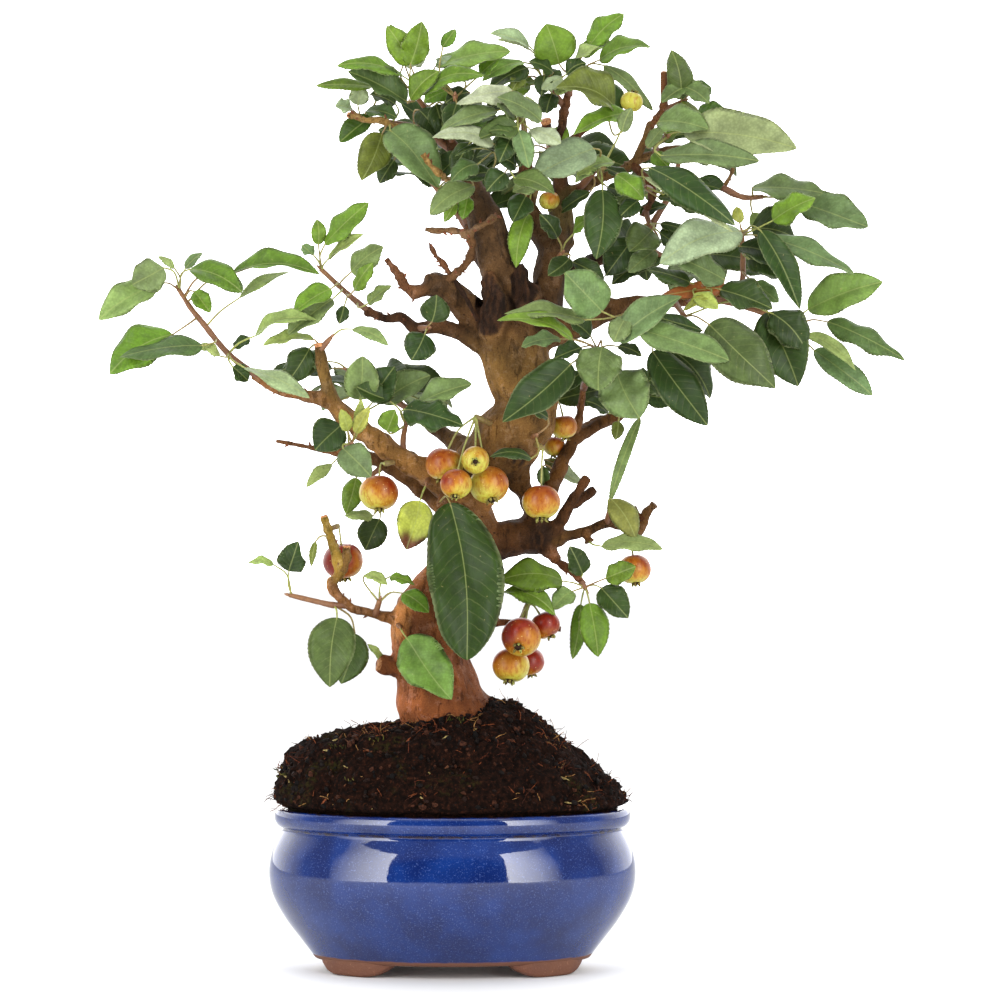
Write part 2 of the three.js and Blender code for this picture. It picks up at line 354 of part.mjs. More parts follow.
// ---------------------------------------------------------------- solids and meshes

// A closed geometry as a solid, with its faces turned outwards and collapsed triangles left out.
function toSolid(geometry) {
  const bare = geometry.clone();
  bare.deleteAttribute("normal");
  bare.deleteAttribute("uv");
  const merged = mergeVertices(bare, SAME_POINT);
  const index = merged.index.array;
  const places = merged.attributes.position;
  const corners = [new THREE.Vector3(), new THREE.Vector3(), new THREE.Vector3()];
  const triangles = [];
  let volume = 0;
  for (let i = 0; i < index.length; i += 3) {
    const [a, b, c] = [index[i], index[i + 1], index[i + 2]];
    if (a === b || b === c || c === a) {
      continue;
    }
    triangles.push([a, b, c]);
    corners.forEach((corner, k) => corner.fromBufferAttribute(places, index[i + k]));
    volume += corners[0].dot(corners[1].clone().cross(corners[2]));
  }
  const outward = volume > 0 ? triangles : triangles.map(([a, b, c]) => [a, c, b]);
  return new wasm.Manifold(new wasm.Mesh({
    numProp: 3,
    vertProperties: new Float32Array(places.array),
    triVerts: new Uint32Array(outward.flat()),
  }));
}

function toGeometry(solid) {
  const mesh = solid.getMesh();
  const geometry = new THREE.BufferGeometry();
  geometry.setAttribute("position", new THREE.BufferAttribute(mesh.vertProperties, 3));
  geometry.setIndex(new THREE.BufferAttribute(mesh.triVerts, 1));
  geometry.computeVertexNormals();
  return geometry;
}

function join(solids) {
  return solids.reduce((whole, next) => whole.add(next));
}

function largestBody(solid) {
  return solid.decompose().reduce((best, next) => (next.volume() > best.volume() ? next : best));
}

function boxOf(solid) {
  const { min, max } = solid.boundingBox();
  return new THREE.Box3(new THREE.Vector3(...min), new THREE.Vector3(...max));
}

function addNode(name, solid, look) {
  const mesh = new THREE.Mesh(toGeometry(solid), new THREE.MeshStandardMaterial(COLOURS[look]));
  mesh.name = name;
  tree.add(mesh);
}

// A cylinder whose points are put where place(angle, along, fraction of the radius) says.
function bentCylinder(sides, steps, open, place) {
  const geometry = new THREE.CylinderGeometry(1, 1, 1, sides, steps, open);
  const places = geometry.attributes.position;
  for (let i = 0; i < places.count; i += 1) {
    const [x, y, z] = [places.getX(i), places.getY(i), places.getZ(i)];
    const point = place(Math.atan2(x, z), y + 0.5, Math.hypot(x, z));
    places.setXYZ(i, point.x, point.y, point.z);
  }
  return geometry;
}

// A round limb or stalk along a smooth line of x, y, z, radius, with a ring at each of the line's
// points. grow adds to its radius and ends, ridges is the depth of its bark relief, and pointed
// closes its far end in a point.
function limb(line, sides, { grow = 0, ridges = 0, pointed = false } = {}) {
  const steps = line.length - 1;
  const curve = new THREE.CatmullRomCurve3(
    line.map(([x, y, z]) => new THREE.Vector3(x, y, z)), false, "centripetal");
  curve.getUtoTmapping = (share) => share;
  const frames = curve.computeFrenetFrames(steps);
  const place = (angle, along, fraction) => {
    const step = Math.round(along * steps);
    const radius = line[step][3] + grow;
    const isEnd = step === 0 || step === steps;
    const [coarse, fine] = RIDGES_ROUND.map(
      (count, i) => Math.sin(count * angle + RIDGES_ALONG[i] * along));
    const relief = 1 + ridges * (coarse + 0.6 * fine);
    const reach = (pointed && step === steps ? 0 : radius * relief) * fraction;
    const point = curve.getPointAt(along);
    point.addScaledVector(frames.normals[step], reach * Math.cos(angle));
    point.addScaledVector(frames.binormals[step], reach * Math.sin(angle));
    if (isEnd) {
      point.addScaledVector(frames.tangents[step], step === 0 ? -grow : grow);
    }
    return point;
  };
  return toSolid(bentCylinder(sides, steps, false, place));
}

// ---------------------------------------------------------------- pot, screens and soil

function squashToOval(geometry) {
  const places = geometry.attributes.position;
  for (let i = 0; i < places.count; i += 1) {
    const radius = Math.hypot(places.getX(i), places.getZ(i));
    const ratio = radius > BASE_RADIUS ? 1 - OVAL_STEP / radius : 1 - OVAL_STEP / BASE_RADIUS;
    places.setZ(i, places.getZ(i) * ratio);
  }
  return geometry.rotateX(Math.PI / 2);
}

function drainHole(side) {
  const hole = new THREE.CylinderGeometry(HOLE_RADIUS, HOLE_RADIUS, POT_FLOOR * 2, HOLE_SIDES);
  hole.rotateX(Math.PI / 2).translate(side * HOLE_X, 0, POT_FLOOR / 2);
  return toSolid(hole);
}

// A foot under the quarter of the pot on one side of its front, following the oval of the base.
function foot(side) {
  const outline = new THREE.Shape();
  const [from, to] = FOOT_ANGLES.map((angle) => THREE.MathUtils.degToRad(side > 0 ? angle : 180 - angle));
  const outside = [BASE_RADIUS - FOOT_BEVEL, BASE_RADIUS - OVAL_STEP - FOOT_BEVEL];
  const inside = outside.map((radius) => radius - FOOT_WIDTH + 2 * FOOT_BEVEL);
  outline.absellipse(0, 0, ...outside, from, to, from > to, 0);
  outline.absellipse(0, 0, ...inside, to, from, from < to, 0);
  const solid = new THREE.ExtrudeGeometry(outline, {
    depth: FOOT_HEIGHT - 2 * FOOT_BEVEL,
    bevelThickness: FOOT_BEVEL,
    bevelSize: FOOT_BEVEL,
    bevelSegments: 1,
    curveSegments: 3,
  });
  return solid.translate(0, 0, FOOT_BEVEL);
}

function buildPot() {
  const profile = [[0, 8], ...POT_OUTSIDE, ...POT_INSIDE, [0, POT_FLOOR]];
  const body = squashToOval(new THREE.LatheGeometry(
    profile.map(([radius, height]) => new THREE.Vector2(radius, height)), POT_SIDES));
  let pot = toSolid(body);
  for (const side of [1, -1]) {
    pot = pot.add(toSolid(foot(side)));
    pot = pot.add(toSolid(foot(side).rotateZ(Math.PI)));
  }
  return pot.subtract(drainHole(1)).subtract(drainHole(-1));
}

function buildScreen(side) {
  const place = [side * HOLE_X, 0, POT_FLOOR + GAP + MESH_THICKNESS / 2];
  const plate = new THREE.BoxGeometry(MESH_SIZE, MESH_SIZE, MESH_THICKNESS).translate(...place);
  let screen = toSolid(plate);
  for (const [column, row] of [[-1, -1], [1, -1], [-1, 1], [1, 1]]) {
    const opening = new THREE.BoxGeometry(MESH_OPENING, MESH_OPENING, MESH_THICKNESS * 3);
    opening.translate(column * MESH_OPENING * 0.75, row * MESH_OPENING * 0.75, 0).translate(...place);
    screen = screen.subtract(toSolid(opening));
  }
  return screen;
}

function soilPoint(angle, lumpHeight, left, right) {
  const blend = (1 - Math.cos(angle)) / 2;
  const [wide, narrow] = SOIL_LUMPS_ROUND;
  const waves = Math.sin(wide * angle + right[1] / 7) + Math.sin(narrow * angle - left[1] / 5);
  const lump = lumpHeight * waves / 2;
  const across = THREE.MathUtils.lerp(right[0], left[0], blend);
  return new THREE.Vector3(
    across * Math.cos(angle),
    across * SOIL_DEPTH_RATIO * Math.sin(angle),
    THREE.MathUtils.lerp(right[1], left[1], blend) + lump);
}

function buildSoil() {
  const surface = SOIL_RIGHT.length;
  const buried = [...POT_INSIDE].reverse();
  const bottom = POT_FLOOR + 2 * GAP + MESH_THICKNESS;
  const steps = surface + buried.length;
  const place = (angle, along) => {
    const step = Math.round(along * steps);
    if (step === 0) {
      return new THREE.Vector3(0, 0, bottom);
    }
    if (step < buried.length) {
      const [radius, height] = buried[step - 1];
      const across = radius - 2 * GAP;
      return new THREE.Vector3(
        across * Math.cos(angle), (across - OVAL_STEP) * Math.sin(angle), Math.max(height, bottom));
    }
    if (step < steps) {
      const ring = step - buried.length;
      return soilPoint(angle, ring > 1 ? SOIL_LUMP : 0, SOIL_LEFT[ring], SOIL_RIGHT[ring]);
    }
    return new THREE.Vector3(0, 0, SOIL_MIDDLE);
  };
  return toSolid(bentCylinder(POT_SIDES, steps, true, place));
}

// ---------------------------------------------------------------- wood

function buildWood(grow) {
  return join(WOOD.map(({ sides, line }) => limb(line, sides, { grow, ridges: BARK_RIDGES })));
}

// ---------------------------------------------------------------- fruit

function turnTo(direction) {
  return new THREE.Quaternion().setFromUnitVectors(
    new THREE.Vector3(0, 1, 0), new THREE.Vector3(...direction).normalize());
}

function fruit(x, y, z, radius, calyxSide) {
  const profile = FRUIT_PROFILE.map(([across, up]) => new THREE.Vector2(across * radius, up * radius));
  const body = new THREE.LatheGeometry(profile, FRUIT_SIDES);
  return toSolid(body.applyQuaternion(turnTo(calyxSide)).translate(x, y, z));
}

function buildBunch({ stem, fruits }) {
  const pieces = [limb(stem, SPUR_SIDES)];
  const start = new THREE.Vector3(...stem.at(-1));
  for (const [x, y, z, radius, calyxSide] of fruits) {
    const middle = new THREE.Vector3(x, y, z);
    const away = new THREE.Vector3(...calyxSide).normalize();
    const end = middle.clone().addScaledVector(away, -radius * FRUIT_STALK_ENDS.inside);
    const bend = middle.clone().addScaledVector(away, -radius * FRUIT_STALK_ENDS.bend).lerp(start, 0.35);
    const line = [start, bend, end].map((point) => [...point.toArray(), FRUIT_STALK_RADIUS]);
    pieces.push(limb(line, FRUIT_STALK_SIDES, { pointed: true }), fruit(x, y, z, radius, calyxSide));
  }
  return join(pieces);
}

// ---------------------------------------------------------------- leaves

// A number from 0 to 1 that differs from leaf to leaf and is the same each time.
function wobble(seed) {
  const value = Math.sin(seed * 12.9898) * 43758.5453;
  return value - Math.floor(value);
}

// Half the width of a blade at a share of its length, as a fraction of its widest half.
function outlineAt(along) {
  return Math.sin(Math.PI * along ** BLADE_BIAS) ** BLADE_FULLNESS;
}

function leafFrame(leaf) {
  const along = leaf.tip.clone().sub(leaf.foot).normalize();
  const tilt = THREE.MathUtils.degToRad(leaf.tilt);
  const up = new THREE.Vector3(0, -Math.sin(tilt), Math.cos(tilt));
  up.addScaledVector(along, -up.dot(along)).normalize();
  return { along, up, side: up.clone().cross(along) };
}

function bladeStations(length) {
  return BLADE_STATIONS.find(({ upTo }) => length < upTo).at;
}

function archAt(share, leaf, length) {
  return 4 * share * (1 - share) * BLADE_ARCH[leaf.kind] * length;
}

// A four-cornered bar through rings of a middle, half a width and half a thickness as vectors. It
// starts flat and ends in the last ring's middle.
function bar(rings) {
  const steps = rings.length - 1;
  return toSolid(bentCylinder(4, steps, false, (angle, along, fraction) => {
    const corner = Math.round(angle / (Math.PI / 2) + 4) % 4;
    const { middle, side, up } = rings[Math.round(along * steps)];
    return middle.clone()
      .addScaledVector(side, fraction * [1, -1, -1, 1][corner])
      .addScaledVector(up, fraction * [1, 1, -1, -1][corner]);
  }));
}

function bladeRings(leaf, grow) {
  const length = leaf.foot.distanceTo(leaf.tip);
  const { along, up, side } = leafFrame(leaf);
  return bladeStations(length).map((share) => {
    const isTip = share === 1;
    return {
      middle: leaf.foot.clone()
        .addScaledVector(along, share * length + (isTip ? grow : 0))
        .addScaledVector(up, archAt(share, leaf, length)),
      side: side.clone().multiplyScalar(isTip ? 0 : outlineAt(share) * leaf.width / 2 + grow),
      up: up.clone().multiplyScalar(isTip ? 0 : BLADE_THICKNESS / 2 + grow),
    };
  });
}

// A narrow ring across a line that runs in a direction, turned on from the blade's own frame.
function stalkRing(leaf, middle, direction, grow) {
  const { along, up, side } = leafFrame(leaf);
  const turn = new THREE.Quaternion().setFromUnitVectors(along, direction.clone().normalize());
  return {
    middle,
    side: side.applyQuaternion(turn).multiplyScalar(LEAF_STALK_RADIUS + grow),
    up: up.applyQuaternion(turn).multiplyScalar(LEAF_STALK_RADIUS * LEAF_STALK_FLATNESS + grow),
  };
}

// The place inside the stem that is nearest to a point, past the stem's root and short of its end.
function nearestOnStem(stem, point) {
  const corners = stem.slice(1).map(([x, y, z]) => new THREE.Vector3(x, y, z));
  const before = new THREE.Vector3(...stem.at(-2));
  corners.at(-1).lerp(before, STALK_SUNK / before.distanceTo(corners.at(-1)));
  let best = corners[0].clone();
  for (let i = 0; i + 1 < corners.length; i += 1) {
    const candidate = new THREE.Line3(corners[i], corners[i + 1]).closestPointToPoint(
      point, true, new THREE.Vector3());
    if (candidate.distanceTo(point) < best.distanceTo(point)) {
      best = candidate;
    }
  }
  return best;
}

function stalkRings(leaf, stem, grow) {
  const start = nearestOnStem(stem, leaf.foot);
  const { along } = leafFrame(leaf);
  const reach = start.distanceTo(leaf.foot);
  const bend = leaf.foot.clone().addScaledVector(along, -STALK_BEND * reach).lerp(start, STALK_BEND);
  const points = reach > LONG_STALK ? [start, bend, leaf.foot] : [start, leaf.foot];
  return points.map((point, i) => {
    const before = points[Math.max(i - 1, 0)];
    const after = points[Math.min(i + 1, points.length - 1)];
    const direction = after.clone().sub(before).normalize();
    return stalkRing(leaf, point, i === points.length - 1 ? direction.add(along) : direction, grow);
  });
}

function blade(leaf, grow = 0) {
  const { along } = leafFrame(leaf);
  return bar([stalkRing(leaf, leaf.foot, along, grow), ...bladeRings(leaf, grow)]);
}

// The stalk alone, which ends in a point inside the blade.
function stalk(leaf, stem, grow = 0) {
  const point = {
    middle: leaf.foot.clone().lerp(bladeRings(leaf, grow)[0].middle, STALK_IN_BLADE),
    side: new THREE.Vector3(),
    up: new THREE.Vector3(),
  };
  return bar([...stalkRings(leaf, stem, grow), point]);
}

// The stalk and the blade in one piece, or joined where the stalk comes back over the blade.
function wholeLeaf(leaf, stem) {
  const back = nearestOnStem(stem, leaf.foot).sub(leaf.foot).normalize();
  if (back.dot(leafFrame(leaf).along) > 0.1) {
    return blade(leaf).add(stalk(leaf, stem));
  }
  return bar([...stalkRings(leaf, stem, 0), ...bladeRings(leaf, 0)]);
}

function triedDepth(attempt) {
  return DEPTH_STEP * Math.ceil(attempt / 2) * (attempt % 2 ? 1 : -1);
}

// What stands already, and that a new leaf keeps clear of.
const standing = [];

function stand(owner, kind, solid) {
  standing.push({ owner, kind, solid, box: boxOf(solid) });
}

function meetsStanding(owner, solid, kinds) {
  const box = boxOf(solid);
  return standing.some((other) => kinds(other)
    && box.intersectsBox(other.box)
    && !solid.intersect(other.solid).isEmpty());
}

function settleLeaf(owner, stem, row) {
  const [footX, footY, footZ, tipX, tipY, tipZ, width, tilt, kind] = row;
  let settled = null;
  for (let attempt = 0; attempt <= DEPTH_TRIES && !settled; attempt += 1) {
    const depth = triedDepth(attempt);
    const leaf = {
      foot: new THREE.Vector3(footX, footY + FOOT_FOLLOWS * depth, footZ),
      tip: new THREE.Vector3(tipX, tipY + depth, tipZ),
      width, tilt, kind,
    };
    const isForeign = (other) => other.owner !== owner;
    const bladeMeets = meetsStanding(owner, blade(leaf, CLEARANCE),
      (other) => isForeign(other) || other.kind !== "stalk");
    const stalkMeets = meetsStanding(owner, stalk(leaf, stem, GAP),
      (other) => isForeign(other) && other.kind !== "wood");
    if (!bladeMeets && !stalkMeets) {
      settled = leaf;
    }
  }
  if (!settled) {
    console.log(`crossing leaf in ${owner}: ${row}`);
    return [];
  }
  stand(owner, "blade", blade(settled));
  stand(owner, "stalk", stalk(settled, stem));
  return [wholeLeaf(settled, stem)];
}

function shootStem(stem) {
  return limb(stem.map((point) => [...point, STEM_RADIUS]), STEM_SIDES);
}

function leanForward({ name, forward = 0, stem, leaves }) {
  return {
    name,
    stem: stem.map(([x, y, z], i) => [x, y - forward * i / (stem.length - 1), z]),
    leaves: leaves.map(([footX, footY, footZ, tipX, tipY, ...rest]) => [
      footX, footY - forward, footZ, tipX, tipY - forward, ...rest]),
  };
}

// Leaves around a stem that stands free: alternate, turned by the golden angle, facing up.
function backLeaves({ stem, length }, seed) {
  const curve = new THREE.CatmullRomCurve3(stem.map((point) => new THREE.Vector3(...point)));
  const rows = [];
  for (let i = 0; i < BACK_LEAVES; i += 1) {
    const along = THREE.MathUtils.lerp(BACK_LEAVES_FROM, 1, (i + 1) / BACK_LEAVES);
    const turn = GOLDEN_ANGLE * i + seed;
    const start = curve.getPoint(along);
    const out = new THREE.Vector3(Math.cos(turn), 0.35 + 0.75 * Math.sin(turn), 0.25).normalize();
    const size = length * (BACK_SIZES.least + BACK_SIZES.more * wobble(seed * 17 + i));
    const foot = start.clone().addScaledVector(out, BACK_STALK);
    const tip = foot.clone().addScaledVector(out, size);
    tip.z -= size * BACK_DROOP;
    const face = 20 - 50 * Math.sin(turn);
    rows.push([...foot.toArray(), ...tip.toArray(), size * BACK_WIDTH_RATIO, face, "dark"]);
  }
  return rows;
}

// ---------------------------------------------------------------- assembly

const wood = buildWood(0);
const woodWithGap = buildWood(WOOD_GAP);
const soil = largestBody(buildSoil().subtract(woodWithGap));
addNode("pot", buildPot(), "glaze");
addNode("drain_mesh_left", buildScreen(-1), "screen");
addNode("drain_mesh_right", buildScreen(1), "screen");
addNode("soil", soil, "soil");
addNode("trunk", wood, "bark");
stand("trunk", "wood", woodWithGap);
stand("soil", "soil", soil);

for (const bunch of BUNCHES) {
  const solid = largestBody(buildBunch(bunch).subtract(woodWithGap));
  addNode(bunch.name, solid, "fruit");
  stand(bunch.name, "fruit", solid);
}

const backShoots = BACK_SHOOTS.map((shoot, i) => ({
  name: shoot.name, stem: shoot.stem, leaves: backLeaves(shoot, i + 1),
}));
const shoots = [...SHOOTS.map(leanForward), ...backShoots];
for (const shoot of shoots) {
  stand(shoot.name, "stem", largestBody(shootStem(shoot.stem).subtract(woodWithGap)));
}
for (const { name, stem, leaves } of shoots) {
  const pieces = leaves.flatMap((row) => settleLeaf(name, stem, row));
  addNode(name, largestBody(join([shootStem(stem), ...pieces]).subtract(woodWithGap)), "leaf");
}

const middle = new THREE.Box3().setFromObject(tree).getCenter(new THREE.Vector3());
tree.position.set(-middle.x, -middle.y, 0);

export default tree;
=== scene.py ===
"""A crabapple bonsai in an oval glazed pot: its bark, leaves, fruit, soil and glaze around a fixed frame."""
import math
import random

import bmesh
import bpy
import numpy as np
from bpy.props import FloatProperty, FloatVectorProperty, IntProperty, PointerProperty
from mathutils import Matrix, Vector, kdtree, noise


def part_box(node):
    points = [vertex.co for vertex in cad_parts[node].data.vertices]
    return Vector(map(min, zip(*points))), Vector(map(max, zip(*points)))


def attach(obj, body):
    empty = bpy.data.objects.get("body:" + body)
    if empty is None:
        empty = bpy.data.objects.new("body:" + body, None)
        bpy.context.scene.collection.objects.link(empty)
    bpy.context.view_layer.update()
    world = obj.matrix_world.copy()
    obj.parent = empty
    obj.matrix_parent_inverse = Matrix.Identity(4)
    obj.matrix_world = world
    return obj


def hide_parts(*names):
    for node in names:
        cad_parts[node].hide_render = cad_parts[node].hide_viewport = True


bl_info = {
    "name": "Crabapple Bonsai",
    "version": (1, 0, 0),
    "blender": (4, 5, 0),
    "location": "3D View > Sidebar > Bonsai",
    "description": "Dresses a potted crabapple bonsai with bark, leaves, fruit, soil and glaze",
    "category": "Add Mesh",
}

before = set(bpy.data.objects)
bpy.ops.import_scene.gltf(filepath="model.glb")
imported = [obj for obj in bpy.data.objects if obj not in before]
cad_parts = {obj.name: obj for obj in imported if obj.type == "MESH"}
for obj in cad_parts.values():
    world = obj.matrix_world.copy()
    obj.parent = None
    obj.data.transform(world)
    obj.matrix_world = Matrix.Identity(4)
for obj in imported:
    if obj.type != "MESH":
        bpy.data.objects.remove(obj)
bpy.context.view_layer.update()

# Pieces are shaped in millimetres around the pot's middle, and then put into the frame, in metres.
MM = 0.001
POT_LOW, POT_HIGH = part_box("pot")
POT_MIDDLE = Vector(((POT_LOW.x + POT_HIGH.x) / 2, (POT_LOW.y + POT_HIGH.y) / 2, 0.0))
TO_FRAME = Matrix.Translation(POT_MIDDLE) @ Matrix.Scale(MM, 4)
SAME_POINT = 1e-3

# Pot: its wall's outline as half width along X and height. It is narrower along Y by OVAL_STEP.
OVAL_STEP = 30
BASE_RADIUS = 82.5
POT_UNDERSIDE = 8
POT_FLOOR = 15
POT_OUTSIDE = (
    (BASE_RADIUS, POT_UNDERSIDE), (91, 19), (100, 31), (107.8, 45.5), (110, 58), (107.9, 71.5), (101.5, 85),
)
POT_LIP = (
    (101.5, 85), (102.2, 85.8), (104.4, 86.9), (106.3, 89.6), (106.7, 92.6), (106.2, 95.4), (104.8, 96.9),
    (102, 97), (99.9, 96.4), (99.2, 94),
)
POT_INSIDE = ((99.2, 94), (97.8, 86), (102, 72), (102.4, 56), (95, 36), (86, 19), (80, POT_FLOOR))
POT_SIDES = 192
FOOT_ANGLES = ((16, 66), (114, 164), (196, 246), (294, 344))
FOOT_WIDTH = 11
FOOT_HEIGHT = 12
FOOT_SET_IN = 5.1
FOOT_STEPS = 26
FOOT_SIDES = 16
FOOT_RISE = 0.34
FOOT_SQUARENESS = 0.45
HOLE_X = 35
HOLE_RADIUS = 6

# Glaze: heights over which it ends above the clay, and over which it is worn at the groove and the lip.
GLAZE_END = (10.8, 11.8)
GROOVE_FROM = (85.2, 85.8)
GROOVE_TO = (86.6, 87.4)
LIP_FROM = (97.2, 97.8)

# Root ball: reach and height of its surface, from the pot's rim to the middle, on both sides.
SOIL_RIGHT = ((98.9, 98), (103, 101), (95, 113), (77, 128), (54, 148), (31, 160), (12, 157))
SOIL_LEFT = ((98.9, 98), (105.5, 102), (104, 112), (99, 124), (90, 135), (65, 142), (32, 146))
SOIL_MIDDLE = 152
SOIL_DEPTH_RATIO = 0.695
SOIL_LUMP = 1.8
SOIL_LUMPS_ROUND = (5, 9)
SOIL_BURIED = ((0, POT_FLOOR + 2), (60, POT_FLOOR + 2), (82, POT_FLOOR + 3), (100, 58), (96, 84))
SOIL_EDGE = 98
MOUND_STEPS = 12
MOUND_SIDES = 300
# The mound's lumps, as size, depth and seed, and its clods, as size and depth.
MOUND_LUMPS = ((15, 2.6, 0.0), (5, 1.5, 3.1))
CLODS = ((9.0, 1.6), (4.0, 1.0))

# Litter: how many of each there are, and the least and the most of their sizes.
LITTER_SEED = 11
LITTER_RINGS = (0.12, 0.93)
CRUMBS = 2600
CRUMB_SIZES = (0.6, 1.5)
FIBRES = 760
FIBRE_CLUMPS = 26
FIBRE_LENGTHS = (4, 14)
FIBRE_RADII = (0.16, 0.34)
CHIPS = 110
CHIP_SIZES = (1.5, 4.2)
TUFTS = 8
TUFT_BLADES = 16
TUFT_HEIGHTS = (1.6, 3.6)

